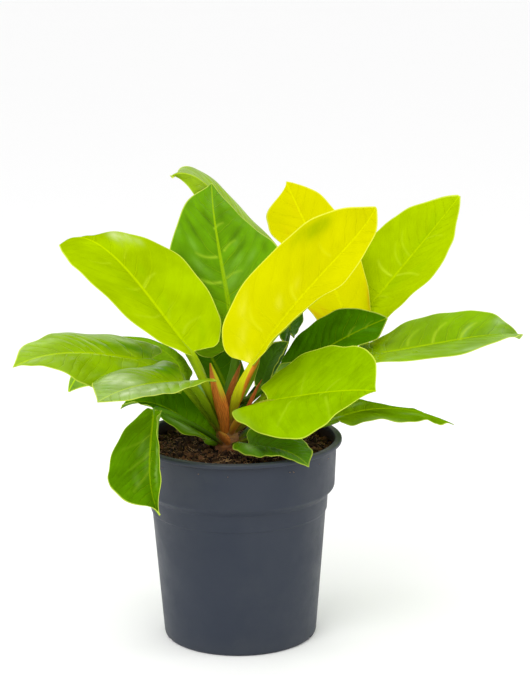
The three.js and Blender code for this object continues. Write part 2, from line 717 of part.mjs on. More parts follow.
// ---- sheaths ----
function makeSheath(sheath, grownStem) {
  const foot = footPoint(sheath.foot, 1);
  const tip = vec(...sheath.tip);
  const span = foot.distanceTo(tip);
  const start = outOfStem(sheath.foot, sheath.lean);
  const curve = new THREE.CubicBezierCurve3(
    foot,
    foot.clone().addScaledVector(start, span * 0.35),
    tip.clone().lerp(foot, 0.35),
    tip,
  );
  const outward = vec(Math.cos(sheath.foot[0] * RAD), Math.sin(sheath.foot[0] * RAD), 0);
  const shares = [0, 0.2, 0.45, 0.7, 0.88, 1];
  const bends = [-1, -0.5, 0, 0.5, 1];
  const rings = shares.map((u) => {
    const point = curve.getPoint(u);
    const ahead = curve.getTangent(u);
    const out = outward.clone().addScaledVector(ahead, -outward.dot(ahead)).normalize();
    const side = ahead.clone().cross(out);
    const half = sheath.half * mix(0.55, 1, Math.min(1, u * 3)) * (1 - 0.88 * u ** 3);
    const radius = half / Math.sin(SHEATH_ARC * RAD);
    const at = (bend, depth) => {
      const angle = bend * SHEATH_ARC * RAD;
      return point
        .clone()
        .addScaledVector(side, (radius - depth) * Math.sin(angle))
        .addScaledVector(out, (radius - depth) * Math.cos(angle) - radius * 0.8);
    };
    const depth = Math.min(SHEATH_THICK, radius * 0.5);
    const outer = bends.map((bend) => at(bend, 0));
    const inner = bends.map((bend) => at(bend, depth)).reverse();
    return [...outer, ...inner];
  });
  return skinOver(rings, averageOf(rings[0]), averageOf(rings[rings.length - 1])).subtract(
    grownStem,
  );
}

function averageOf(points) {
  const sum = vec(0, 0, 0);
  for (const p of points) sum.add(p);
  return sum.divideScalar(points.length);
}

// ---- the whole plant ----
const plant = new THREE.Group();
plant.name = "potted_philodendron";
const grownStem = stemSolid(SEAT + 0.05);
plant.add(meshFrom(makePot(), "pot", "pot"));
plant.add(meshFrom(makeSoil(grownStem), "soil", "soil"));
plant.add(meshFrom(stemSolid(0), "stem", "stem"));
for (const leaf of LEAVES) plant.add(meshFrom(makeLeaf(leaf, grownStem), leaf.name, leaf.colour));
for (const sheath of SHEATHS)
  plant.add(meshFrom(makeSheath(sheath, grownStem), sheath.name, "sheath"));

export default plant;
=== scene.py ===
"""Potted philodendron: the dressed pieces of the plant and its nursery pot."""
import math

import bmesh
import bpy
import numpy as np
from bpy.props import FloatProperty, FloatVectorProperty, IntProperty, PointerProperty
from bpy.types import Operator, Panel, PropertyGroup
from mathutils import Matrix, Vector


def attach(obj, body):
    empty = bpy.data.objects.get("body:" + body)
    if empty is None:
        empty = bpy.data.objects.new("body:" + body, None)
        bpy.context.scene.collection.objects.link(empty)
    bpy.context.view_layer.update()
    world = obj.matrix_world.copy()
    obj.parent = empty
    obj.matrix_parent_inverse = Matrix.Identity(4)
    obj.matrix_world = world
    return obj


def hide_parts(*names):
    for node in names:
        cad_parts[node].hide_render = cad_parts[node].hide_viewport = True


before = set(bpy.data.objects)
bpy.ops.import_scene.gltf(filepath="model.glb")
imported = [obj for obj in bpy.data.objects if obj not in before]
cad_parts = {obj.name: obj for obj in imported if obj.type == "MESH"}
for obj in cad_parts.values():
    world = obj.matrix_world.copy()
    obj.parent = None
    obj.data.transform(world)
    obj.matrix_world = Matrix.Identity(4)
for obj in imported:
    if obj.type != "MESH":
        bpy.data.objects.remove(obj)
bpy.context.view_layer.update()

bl_info = {
    "name": "Potted philodendron",
    "version": (1, 0, 0),
    "blender": (4, 5, 0),
    "location": "3D View > Sidebar > Philodendron",
    "description": "Builds a potted philodendron: pot, soil, stem, leaves and sheaths",
    "category": "Object",
}

MM = 0.001

# ---------------------------------------------------------------- sizes, in millimetres
WALL = 1.6
WALL_BENDS = ((111.4, 180.1), (103.6, 171.6), (101, 152))  # outer radius and inner height
FLOOR_RADIUS = 89  # outside of the pot's foot
FLOOR_TOP = 2.6
LIP_TOP = 236.4
NOTCH_TURNS = (-157, -23, 23, 157)  # degrees round the foot
SOIL_PLAY = 0.45  # between the fill and the pot
SOIL_RIM = 113.4  # outside of the pot at the height of the fill's top
SOIL_TOP = 221.4
SOIL_EDGE = 219.5  # height of the fill along the wall
STEM_AXIS = (-13, 0)
STEM_PROFILE = ((200, 10.5), (216, 13.5), (226, 14.5), (246, 12.5), (262, 9.5), (270, 5.5))
SHEATH_ARC = math.radians(62)  # half of the arc that a sheath bends round the crown
WIDEST = 0.42  # share of a blade's length at which it is widest
EDGE_STATIONS = (0.08, 0.22, 0.36, 0.5, 0.64, 0.78, 0.92)  # where "left" and "right" push the edge
EDGE_SPREAD = 0.085
LEVEL = (0,) * len(EDGE_STATIONS)
VEIN_REACH = 1.5  # half width of a single bright vein
CAMERA_AIM = (0.0319, 0, 0.3536)  # metres
CAMERA_AWAY = 2.5
CAMERA_TILT = math.radians(12.99)
CAMERA_ROLL = math.radians(-0.51)
FLOOR_REACH = 60  # metres from the middle to the floor's edge

# ---------------------------------------------------------------- the plant's own table
# Most of these numbers were worked out by separate programs: the shapes fitted to outlines
# traced on the photograph, the marks carried over from spots picked out on it, and the tints
# scaled to each leaf's middle colour in it. The others were set one by one.
# at: where stalk and blade meet; length along the midrib and half width, in millimetres.
# heading, pitch and roll: degrees at the blade's foot and tip. fold lifts both halves,
# curl bends the left and right half further, wave is the swell of the margins: height,
# count, phase on the left and on the right. foot: turn and height on the stem; lean: the
# stalk's tilt out of the upright there. left and right: pushes of the edge at each station.
# painted_sheen and shade: lighter and darker soft spots, (along, across, spread along, spread
# across, strength). The lighter spots are painted highlights and sheen; the darker are painted
# shade, save leaf_04's orange-brown spot and edge, which are its own colour. nerve: single
# bright veins, (along, across, end along, end across, strength).
LEAVES = {
    "leaf_01": dict(
        at=(-52, -33, 344), length=252, half=68, heading=(150, 131), pitch=(46, -43),
        roll=(-1, -7), bend=3.2, fold=(30, -18), curl=(-9, 27), lobe=0.4, wave=(2, 2.5, 0.1, 0.4),
        foot=(214, 257), lean=24, stout=1.25, reach=(0.4, 0.12),
        left=(0, -1.1, 1.2, 0, -1.2, 0, 0), right=(-2.7, 1.4, 0, 3.9, -2.5, -0.9, 0),
        painted_sheen=((0.79, -0.78, 0.038, 0.22, 0.58), (0.73, -0.82, 0.04, 0.13, 0.61),
            (0.66, -0.85, 0.025, 0.08, 0.25)),
        shade=((0.72, -0.2, 0.041, 0.22, 0.22), (0.51, -0.25, 0.032, 0.09, 0.35),
            (0.51, 0.3, 0.036, 0.1, 0.2), (0.41, 0.3, 0.036, 0.15, 0.3),
            (0.34, -0.2, 0.037, 0.08, 0.3), (0.32, 0.28, 0.047, 0.16, 0.2),
            (0.18, -0.6, 0.045, 0.08, 0.35), (0.29, -0.15, 0.029, 0.08, 0.25)),
        nerve=((0.43, -0.05, 0.47, -0.42, 0.54), (0.27, 0.1, 0.34, 0.78, 0.3),
            (0.43, 0.07, 0.44, 0.4, 0.24), (0.14, -0.15, 0.23, -0.65, 0.36),
            (0.24, -0.07, 0.32, -0.35, 0.21), (0.59, 0.25, 0.62, 0.6, 0.21),
            (0.6, -0.17, 0.63, -0.57, 0.21)),
        painted_sheen_tint=(0.6, 0.68, 0.33), shade_tint=(0.24, 0.43, 0), gloss=0, vivid=0.8, rib=1.3,
        slot="leaf_lime", tint=(0.35, 0.514, 0)),
    "leaf_02": dict(
        at=(-3, 39, 334), length=215, half=67, heading=(123, 91), pitch=(78, 35), roll=(-49, 41),
        bend=1, fold=(14, -1), curl=(1, 15), lobe=0.5, wave=(2, 3, 0.2, 0.7), foot=(104, 257),
        lean=12, stout=1, left=(0, 0, 0, 0, -1.7, 1.6, -3.5),
        right=(0, 0, 0, 4.8, -1.2, -1.4, 1.9),
        painted_sheen=((0.87, 0.05, 0.051, 0.23, 0.28), (0.49, 0.38, 0.024, 0.15, 0.48),
            (0.61, 0.55, 0.02, 0.13, 0.36), (0.61, -0.35, 0.02, 0.11, 0.36),
            (0.51, -0.3, 0.022, 0.12, 0.4), (0.51, -0.55, 0.021, 0.12, 0.32),
            (0.41, -0.12, 0.027, 0.14, 0.4), (0.68, 0.95, 0.038, 0.08, 0.24)),
        shade=((0.78, 0.28, 0.03, 0.26, 0.5), (0.7, 0.6, 0.021, 0.23, 0.46),
            (0.68, -0.47, 0.02, 0.27, 0.59), (0.57, -0.4, 0.02, 0.17, 0.53),
            (0.79, -0.22, 0.049, 0.17, 0.43), (0.43, 0.43, 0.02, 0.18, 0.37),
            (0.55, -0.82, 0.03, 0.09, 0.43), (0.67, -0.93, 0.02, 0.27, 0.37),
            (0.64, -0.02, 0.068, 0.08, 0.31), (0.54, 0.73, 0.02, 0.12, 0.22),
            (0.78, 0.83, 0.024, 0.17, 0.19)),
        nerve=((0.55, 0.07, 0.56, 0.48, 0.7), (0.41, 0.07, 0.44, 0.43, 0.85),
            (0.71, 0.05, 0.74, -0.27, 0.6), (0.58, -0.1, 0.62, -0.38, 0.6),
            (0.43, -0.05, 0.45, -0.32, 0.5)),
        painted_sheen_tint=(0.24, 0.47, 0.06), gloss=0.03, vivid=1.5, rib=1.4, slot="leaf_green",
        tint=(0.132, 0.326, 0.001)),
    "leaf_03": dict(
        at=(29, 142, 367), length=217, half=59, heading=(126, 233), pitch=(68, -18),
        roll=(-7, -49), bend=3.8, fold=(1, -20), curl=(0, -14), lobe=1, wave=(2, 2.5, 0.3, 0.6),
        foot=(56, 256), lean=44, stout=1, left=(0, 0, 0, 0, -0.8, -2.5, -7),
        right=(0, 0, 4.5, -4.9, -5.1, -1.2, -10.1), gloss=0.08, slot="leaf_fresh",
        tint=(0.275, 0.455, 0.001)),
    "leaf_04": dict(
        at=(135, 99, 342), length=229, half=51, heading=(140, 101), pitch=(59, 17), roll=(-4, -34),
        bend=1.7, fold=(-1, 3), curl=(8, -7), lobe=0.7, wave=(2.5, 3, 0.5, 0.1), foot=(7, 243),
        lean=58, stout=1, left=(0, 3.7, 2.1, -13.2, 3.9, 12, -4.9),
        right=(0, 0.8, -3.2, -2, -1.3, 1.2, 0),
        shade=((0.27, 0.93, 0.02, 0.19, 0.65), (0.24, 0.62, 0.023, 0.12, 0.35),
            (0.28, -0.97, 0.047, 0.08, 0.7), (0.79, 0.05, 0.067, 0.23, 0.12),
            (0.64, 0.58, 0.075, 0.1, 0.12)),
        shade_tint=(0.6, 0.36, 0.005), gloss=0, vivid=0.2, slot="leaf_yellow",
        tint=(0.618, 0.602, 0)),
    "leaf_05": dict(
        at=(17, -33, 330), length=263, half=61, heading=(32, -79), pitch=(53, 36), roll=(10, 117),
        bend=1.7, fold=(39, 10), curl=(11, 37), lobe=0.2, wave=(2, 3, 0.6, 0.2), foot=(308, 255),
        lean=14, stout=1.12, left=(-0.9, -1.1, 3.9, -3.2, 2, 1.2, 0),
        right=(0, 0, 1.4, -5.6, 1, -3, 2.5),
        painted_sheen=((0.29, 0.8, 0.022, 0.09, 0.3), (0.34, 0.25, 0.02, 0.09, 0.25),
            (0.07, 0.68, 0.035, 0.15, 0.7), (0.19, 0.58, 0.045, 0.1, 0.25),
            (0.04, 0.23, 0.039, 0.14, 0.6), (0.44, 0.25, 0.024, 0.08, 0.2)),
        shade=((0.7, 0.78, 0.056, 0.17, 1), (0.63, 0.8, 0.047, 0.12, 1),
            (0.57, 0.88, 0.043, 0.1, 0.8), (0.35, 0.23, 0.024, 0.08, 0.2),
            (0.56, 0.38, 0.061, 0.12, 0.12)),
        nerve=((0.39, 0.03, 0.42, 0.28, 0.45), (0.2, 0.23, 0.29, 0.68, 0.3),
            (0.63, 0.15, 0.61, 0.5, 0.25)),
        painted_sheen_tint=(0.88, 0.82, 0.07), shade_tint=(0.36, 0.42, 0), gloss=0, vivid=0.25,
        slot="leaf_yellow", tint=(0.604, 0.597, 0)),
    "leaf_06": dict(
        at=(151, 152, 346), length=194, half=59, heading=(34, 25), pitch=(41, 47), roll=(10, 38),
        bend=1.5, fold=(9, 26), curl=(-2, 6), lobe=0.6, wave=(2, 3, 0.1, 0.5), foot=(40, 243),
        lean=50, stout=1, left=(0, 0, 0, -0.7, 0, 1.4, 4.1),
        right=(0, 1.5, -2.4, 2.1, 0.9, -1.9, 0.8),
        shade=((0.83, 0.25, 0.047, 0.28, 0.25), (0.68, 0.03, 0.072, 0.09, 0.25),
            (0.34, -0.17, 0.063, 0.15, 0.35), (0.46, -0.45, 0.056, 0.12, 0.25),
            (0.51, 0.18, 0.048, 0.09, 0.2)),
        nerve=((0.37, 0.07, 0.41, 0.5, 0.8), (0.39, -0.05, 0.44, -0.62, 0.6),
            (0.46, 0.05, 0.54, 0.48, 0.3), (0.18, 0.03, 0.24, -0.38, 0.35),
            (0.54, 0.05, 0.61, 0.58, 0.3), (0.68, -0.02, 0.71, -0.57, 0.3)),
        shade_tint=(0.26, 0.46, 0), gloss=0, vivid=0.6, rib=0.85, slot="leaf_lime",
        tint=(0.393, 0.554, 0)),
    "leaf_07": dict(
        at=(53, 12, 307), length=141, half=48, heading=(14, 23), pitch=(28, 14), roll=(-19, 48),
        bend=2.1, fold=(13, 18), curl=(-3, 2), lobe=1, wave=(2, 2.5, 0.4, 0.8), foot=(6, 258),
        lean=36, stout=0.9, left=(0, 0, 0, 0, 0.8, 0, 1.9), right=(0, 0, 0, 0.9, -3.1, 1.2, 0),
        painted_sheen=((0.86, -0.35, 0.052, 0.54, 0.55), (0.73, -0.02, 0.063, 0.18, 0.25)),
        shade=((0.68, 0.65, 0.08, 0.21, 0.3),),
        nerve=((0.66, -0.05, 0.74, 0.23, 0.6), (0.81, -0.12, 0.88, 0.28, 0.5)),
        painted_sheen_tint=(0.1, 0.3, 0.01), gloss=0, vivid=1.3, slot="leaf_dark", tint=(0.071, 0.223, 0)),
    "leaf_08": dict(
        at=(153, 10, 330), length=218, half=45, heading=(-19, 65), pitch=(11, -25), roll=(13, 30),
        bend=2.2, fold=(4, 46), curl=(-25, -23), lobe=1, wave=(2, 3, 0.2, 0.5), foot=(336, 243),
        lean=48, stout=1, left=(0, 0, 0.7, 0, -4.8, -2.6, -2.4),
        right=(0, 1.1, -1.8, 0.9, -1.9, -1.2, 0),
        painted_sheen=((0.48, -0.9, 0.043, 0.1, 0.6), (0.8, 0.18, 0.062, 0.24, 0.5),
            (0.86, 0.83, 0.045, 0.32, 0.7), (0.59, 0.25, 0.02, 0.24, 0.3)),
        shade=((0.19, 0.43, 0.06, 0.16, 0.5), (0.28, 0.8, 0.037, 0.17, 0.3)),
        nerve=((0.39, 0.03, 0.49, 0.58, 0.7), (0.52, -0.2, 0.64, 0.5, 0.75),
            (0.26, 0.12, 0.36, 0.55, 0.5)),
        painted_sheen_tint=(0.38, 0.56, 0.2), gloss=0.05, slot="leaf_green", tint=(0.215, 0.409, 0)),
    "leaf_09": dict(
        at=(34, -62, 294), length=196, half=67, heading=(-39, -66), pitch=(17, 10), roll=(14, 46),
        bend=1.8, fold=(16, 6), curl=(32, -76), lobe=1.5, wave=(2, 2.5, 0.5, 0.2), foot=(299, 243),
        lean=38, stout=1.05, left=(-1.2, 0, -1, -4.2, 0.7, 3.7, -2.6),
        right=(-1.5, -4.3, 4.1, 6.7, -1, -1.8, -6.3),
        painted_sheen=((0.15, -0.93, 0.083, 0.08, 0.25),),
        shade=((0.11, 0.1, 0.088, 0.12, 0.3), (0.33, 0.65, 0.042, 0.13, 0.12)),
        nerve=((0.52, -0.1, 0.59, 0.3, 0.35), (0.35, -0.2, 0.3, 0.6, 0.3),
            (0.35, -0.3, 0.39, -0.82, 0.3), (0.59, -0.2, 0.71, -1, 0.3)),
        shade_tint=(0.17, 0.36, 0), gloss=0, rib=0.75, slot="leaf_lime", tint=(0.248, 0.433, 0)),
    "leaf_10": dict(
        at=(114, 10, 254), length=177, half=42, heading=(37, 26), pitch=(10, -30), roll=(1, 5),
        bend=0.9, fold=(7, -13), curl=(-3, -10), lobe=0.5, wave=(2.5, 3, 0.1, 0.4),
        foot=(345, 229), lean=62, stout=0.9, left=(0, -1.8, -6.6, 9, -9, 1.6, 8.9),
        right=(0, 2.6, -0.7, -0.9, 0, -1.1, -4.5),
        painted_sheen=((0.32, 0.55, 0.054, 0.14, 0.4), (0.33, -1, 0.115, 0.17, 0.4),
            (0.61, -0.52, 0.086, 0.1, 0.3)),
        shade=((0.28, -0.2, 0.097, 0.28, 0.6), (0.38, -0.5, 0.066, 0.15, 0.3)),
        gloss=0, vivid=1.5, slot="leaf_green", tint=(0.174, 0.349, 0.001)),
    "leaf_11": dict(
        at=(13, -44, 235), length=98, half=34, heading=(-44, -48), pitch=(11, -33), roll=(13, -7),
        bend=2.4, fold=(57, -3), curl=(-20, -91), lobe=0.8, wave=(1.5, 2.5, 0.2, 0.6),
        foot=(306, 229), lean=64, stout=0.8, left=(0, 0, 0, -1.4, 0, 4.2, -0.8),
        right=(-3.8, 3.8, 1.7, -2.3, 0, -3, 0),
        painted_sheen=((0.35, -0.72, 0.067, 0.13, 0.5),),
        shade=((0.48, -0.7, 0.105, 0.21, 0.9), (0.63, -0.52, 0.109, 0.36, 0.8)),
        shade_tint=(0.012, 0.045, 0.001), gloss=0.08, vivid=1.4, slot="leaf_dark",
        tint=(0.091, 0.24, 0.001)),
    "leaf_12": dict(
        at=(-92, -92, 294), length=149, half=53, heading=(257, 289), pitch=(-79, -17),
        roll=(54, 32), bend=0.5, fold=(0, 53), curl=(27, -1), lobe=0, wave=(2, 2.5, 0.3, 0.6),
        foot=(241, 229), lean=52, stout=0.7, reach=(0.3, 0.05),
        left=(0, 0, 1.5, -1.8, -1.3, 3, -1.9), right=(-2, 0, 1.8, -1.7, -1.1, 3.6, -4.9),
        painted_sheen=((0.54, 0.7, 0.108, 0.11, 0.85), (0.73, 0.62, 0.111, 0.12, 0.75),
            (0.46, -0.07, 0.122, 0.08, 0.4), (0.64, -0.35, 0.077, 0.08, 0.4),
            (0.34, -0.22, 0.062, 0.08, 0.3)),
        shade=((0.12, -0.25, 0.068, 0.25, 0.55), (0.23, -0.05, 0.051, 0.11, 0.4),
            (0.24, -0.72, 0.059, 0.18, 0.2), (0.84, -0.15, 0.077, 0.12, 0.3)),
        nerve=((0.35, 0.07, 0.51, -0.45, 0.4), (0.48, 0.12, 0.72, -0.57, 0.4),
            (0.21, 0.05, 0.35, -0.75, 0.25)),
        painted_sheen_tint=(0.2, 0.35, 0.055), gloss=0, vivid=1.5, slot="leaf_green",
        tint=(0.105, 0.263, 0.001)),
    "leaf_13": dict(
        at=(-100, -29, 333), length=186, half=45, heading=(205, 232), pitch=(17, -11),
        roll=(-43, -21), bend=1.8, fold=(-7, 6), curl=(-49, -34), lobe=1.3, wave=(2, 3, 0.2, 0.5),
        foot=(181, 243), lean=34, stout=1.12, left=(0, 0, 0, 0, 2.3, -7.7, -3.9),
        right=(4.5, -3.8, 0, 0.8, -3.8, 1.7, -1.6),
        painted_sheen=((0.66, -0.65, 0.09, 0.14, 0.4), (0.28, -0.75, 0.043, 0.13, 0.8),
            (0.23, 0.25, 0.059, 0.1, 0.4), (0.88, 0.35, 0.065, 0.31, 0.3)),
        shade=((0.11, -0.42, 0.063, 0.21, 0.5), (0.11, -0.88, 0.051, 0.17, 0.4),
            (0.45, 0.58, 0.05, 0.11, 0.2), (0.43, -0.35, 0.082, 0.08, 0.3),
            (0.23, -0.5, 0.068, 0.13, 0.7), (0.31, -0.3, 0.07, 0.12, 0.4)),
        nerve=((0.36, -0.05, 0.46, -0.57, 0.55), (0.13, -0.12, 0.31, -0.65, 0.55)),
        painted_sheen_tint=(0.42, 0.6, 0.16), shade_tint=(0.06, 0.24, 0), gloss=0.15, slot="leaf_fresh",
        tint=(0.271, 0.462, 0)),
    "leaf_14": dict(
        at=(-59, -55, 316), length=187, half=54, heading=(241, 244), pitch=(12, -5),
        roll=(-15, -10), bend=1.9, fold=(29, -3), curl=(4, -72), lobe=0.9, wave=(2, 2.5, 0.4, 0.1),
        foot=(216, 244), lean=28, stout=0.95, left=(-0.7, 0, 0, -1.4, 0, 1.6, -1.7),
        right=(3.6, 0.7, -4.1, 0.8, 1.4, 0, -1.9),
        painted_sheen=((0.68, -0.65, 0.1, 0.13, 0.75), (0.64, -0.42, 0.103, 0.12, 0.85),
            (0.61, -0.17, 0.086, 0.1, 0.7), (0.66, 0.18, 0.089, 0.09, 0.6),
            (0.64, 0.55, 0.087, 0.08, 0.75), (0.82, 0.4, 0.085, 0.16, 0.75)),
        shade=((0.84, -0.52, 0.065, 0.15, 0.4), (0.23, -0.68, 0.061, 0.23, 0.5),
            (0.21, -0.4, 0.074, 0.2, 0.8), (0.35, 0.2, 0.069, 0.09, 0.7),
            (0.11, -0.55, 0.048, 0.2, 0.6)),
        painted_sheen_tint=(0.5, 0.62, 0.3), shade_tint=(0.09, 0.28, 0), gloss=0.22, slot="leaf_fresh",
        tint=(0.205, 0.372, 0)),
    "leaf_15": dict(
        at=(-62, 32, 292), length=197, half=56, heading=(137, 185), pitch=(91, -65),
        roll=(31, -54), bend=0.6, fold=(1, -24), curl=(-1, -13), lobe=0.3, wave=(2, 2.5, 0.1, 0.7),
        foot=(124, 247), lean=34, stout=0.95, reach=(0.5, 0.12), left=(0, 0, 0, 0, 0, 4.2, 0),
        right=(0, -1.2, 2.7, -1.9, -1.2, 0, 0),
        shade=((1, 0, 0.2, 4, 0.95),),
        shade_tint=(0.14, 0.26, 0.03), gloss=0, under=(0.12, 0.24, 0.02), slot="leaf_green",
        tint=(0.27, 0.52, 0.01)),
    "leaf_16": dict(
        at=(-35, -12, 236), length=138, half=46, heading=(140, 149), pitch=(29, -37),
        roll=(8, -20), bend=2.1, fold=(14, 21), curl=(14, 17), lobe=0.1, wave=(2, 2.5, 0.3, 0.8),
        foot=(204, 229), lean=55, stout=0.85, left=(-3, 10.2, 12.1, -6, -7.4, 3, 0),
        right=(0, 0, 0, -4.4, 0, 0, 0),
        painted_sheen=((0.31, 0.62, 0.086, 0.16, 0.6), (0.19, 0.5, 0.088, 0.21, 0.5)),
        shade=((0.57, -0.1, 0.108, 0.17, 0.3),),
        gloss=0, vivid=1.4, slot="leaf_dark", tint=(0.125, 0.342, 0.001)),
    "leaf_17": dict(
        at=(28, -14, 302), length=71, half=14, heading=(59, 51), pitch=(66, 2), roll=(-1, 14),
        bend=1.1, fold=(9, 13), curl=(-1, -1), lobe=0.6, wave=(1, 2.5, 0.2, 0.5), foot=(354, 266),
        lean=26, stout=0.7, left=(0, -1, -4.4, 0, 1.4, 2, 1.1), right=(0, 0, -2, -2, 0, 0, 0),
        painted_sheen=((0.61, -0.78, 0.128, 0.39, 0.6), (0.44, -0.72, 0.114, 0.5, 0.5)),
        painted_sheen_tint=(0.09, 0.18, 0.045), gloss=0.03, vivid=0.6, rib=0.5, pale=(0.07, 0.18, 0.01),
        slot="leaf_dark", tint=(0.052, 0.14, 0.003)),
    "leaf_18": dict(
        at=(-12, 44, 279), length=150, half=34, heading=(124, 118), pitch=(46, 2), roll=(0, 0),
        bend=1.5, fold=(14, 4), curl=(0, 0), lobe=0.5, wave=(2, 2.5, 0.4, 0.9), foot=(84, 247),
        lean=36, stout=0.85, gloss=0, slot="leaf_dark", tint=(0.065, 0.198, 0.004)),
    "leaf_19": dict(
        at=(60, 66, 344), length=81, half=25, heading=(137, 126), pitch=(95, 78), roll=(12, 4),
        bend=1.4, fold=(8, 5), curl=(-2, 0), lobe=1.3, wave=(2, 2.5, 0.1, 0.5), foot=(76, 229),
        lean=38, stout=0.85, left=(2.2, 2.5, 0, 0, 0, 0, 0), right=(0, -1, -2, 0, 0, 0, 0),
        slot="leaf_dark", tint=(0.04, 0.15, 0.004)),
    "leaf_20": dict(
        at=(-58, 100, 248), length=165, half=46, heading=(112, 124), pitch=(8, -35), roll=(0, 6),
        bend=1.6, fold=(12, 2), curl=(-6, -6), lobe=1, wave=(2, 2.5, 0.6, 0.1), foot=(150, 229),
        lean=48, stout=0.9, slot="leaf_green", tint=(0.1, 0.32, 0.004)),
    "leaf_21": dict(
        at=(50, 92, 262), length=165, half=46, heading=(56, 48), pitch=(18, -30), roll=(0, -6),
        bend=1.5, fold=(12, 2), curl=(-6, -6), lobe=1, wave=(2, 2.5, 0.3, 0.8), foot=(25, 229),
        lean=56, stout=0.9, slot="leaf_green", tint=(0.1, 0.32, 0.004)),
}
# Stalks that aren't green like their blade: colour at the foot, darker there as painted shade in
# the crown, colour at the blade, blush stripe.
STALK_COLOURS = {
    "leaf_05": ((0.38, 0.36, 0.01), (0.6, 0.62, 0.005), (0.62, 0.17, 0.02)),
    "leaf_09": ((0.5, 0.16, 0.02), (0.34, 0.4, 0.01), (0.5, 0.24, 0.02)),
    "leaf_19": ((0.02, 0.06, 0.002), (0.04, 0.12, 0.004), (0.02, 0.06, 0.002)),
    "leaf_02": ((0.05, 0.12, 0.004), (0.1, 0.22, 0.006), (0.08, 0.16, 0.004)),
    "leaf_12": ((0.03, 0.08, 0.002), (0.1, 0.26, 0.004), (0.06, 0.16, 0.002)),
}
SHEATHS = {
    "sheath_1": dict(foot=(258, 243), lean=14, tip=(-30, -46, 335), half=8.5,
                     tint=(0.66, 0.18, 0.018)),
    "sheath_2": dict(foot=(276, 266), lean=2, tip=(4, -8, 326), half=4.5,
                     tint=(0.34, 0.09, 0.01)),
    "sheath_3": dict(foot=(326, 250), lean=50, tip=(28, -36, 313), half=5.5,
                     tint=(0.48, 0.095, 0.014)),
    "sheath_4": dict(foot=(274, 229), lean=20, tip=(-22, -26, 250), half=5,
                     tint=(0.6, 0.17, 0.025)),
}


# ---------------------------------------------------------------- settings in the sidebar
def colour_setting(name, description, default):
    return FloatVectorProperty(name=name, description=description, default=default, size=3,
                               min=0, max=1, subtype="COLOR")


def size_setting(name, description, default, low, high):
    """A length, given in millimetres and kept in metres."""
    return FloatProperty(name=name, description=description, default=default * MM, min=low * MM,
                         max=high * MM, precision=5, subtype="DISTANCE", unit="LENGTH")


def count_setting(name, description, default, low, high):
    return IntProperty(name=name, description=description, default=default, min=low, max=high)


def power_setting(name, description, default):
    return FloatProperty(name=name, description=description, default=default, min=0, max=500,
                         subtype="POWER", unit="POWER")


class PotSettings(PropertyGroup):
    facets: count_setting("Facets", "Steps round the pot's wall", 168, 24, 360)
    wall: size_setting("Wall", "Thickness of the moulded wall", WALL, 0.5, 4)
    grain: size_setting("Grain", "Size of the plastic's fine pebbling", 0.9, 0.2, 5)
    plastic: colour_setting("Plastic", "Colour of the moulded plastic", (0.019, 0.026, 0.042))
    # also the colour of the painted highlight along the lip's top
    dust_and_lip_highlight: colour_setting("Scuffed", "Colour where the plastic is dusty or rubbed",
                            (0.055, 0.06, 0.068))


class SoilSettings(PropertyGroup):
    crumbs: FloatProperty(name="Crumbs", description="Crumbs on each square metre of soil",
                          default=48000, min=0, max=200000)
    crumb_size: size_setting("Crumb size", "Radius of the largest crumbs", 4.6, 0.5, 10)
    fibres: FloatProperty(name="Fibres", description="Coir fibres on each square metre",
                          default=17000, min=0, max=100000)
    fibre_length: size_setting("Fibre length", "Length of the longest fibres", 17, 2, 60)
    seed: IntProperty(name="Seed", description="Draw of crumbs and fibres", default=11)
    peat: colour_setting("Peat", "Colour of the dark peat", (0.028, 0.01, 0.005))
    bark: colour_setting("Bark", "Colour of the lighter crumbs", (0.16, 0.065, 0.028))
    coir: colour_setting("Coir", "Colour of the fibres", (0.6, 0.36, 0.17))


class LeafSettings(PropertyGroup):
    blade: size_setting("Blade", "Thickness of a blade in its middle", 1.0, 0.3, 3)
    rim: size_setting("Rim", "Thickness of a blade at its margin", 0.7, 0.2, 3)
    midrib: size_setting("Midrib", "Depth of the midrib below the blade's foot", 3.2, 0, 8)
    veins: count_setting("Veins", "Side veins on each half of a blade", 12, 2, 40)
    vein_height: size_setting("Vein relief", "Height of the blade between veins", 1.1, 0, 3)
    stalk_sides: count_setting("Stalk sides", "Steps round a leaf stalk", 20, 6, 64)


class SheathSettings(PropertyGroup):
    thickness: size_setting("Thickness", "Thickness of a papery sheath", 1.2, 0.3, 3)
    lit_edge: colour_setting("Fresh edge", "Colour of the edge that is still green",
                             (0.62, 0.6, 0.02))


class StageSettings(PropertyGroup):
    floor: colour_setting("Floor", "Colour of the floor", (0.97, 0.97, 0.97))
    key: power_setting("Key light", "Strength of the large light above", 20)
    sides: power_setting("Side lights", "Strength of each light at the side", 5)
    sky: FloatProperty(name="Surroundings", description="Strength of the white surroundings",
                       default=1.0, min=0, max=5)
    lens: FloatProperty(name="Lens", description="Focal length of the camera in millimetres",
                        default=116.34, min=20, max=300)


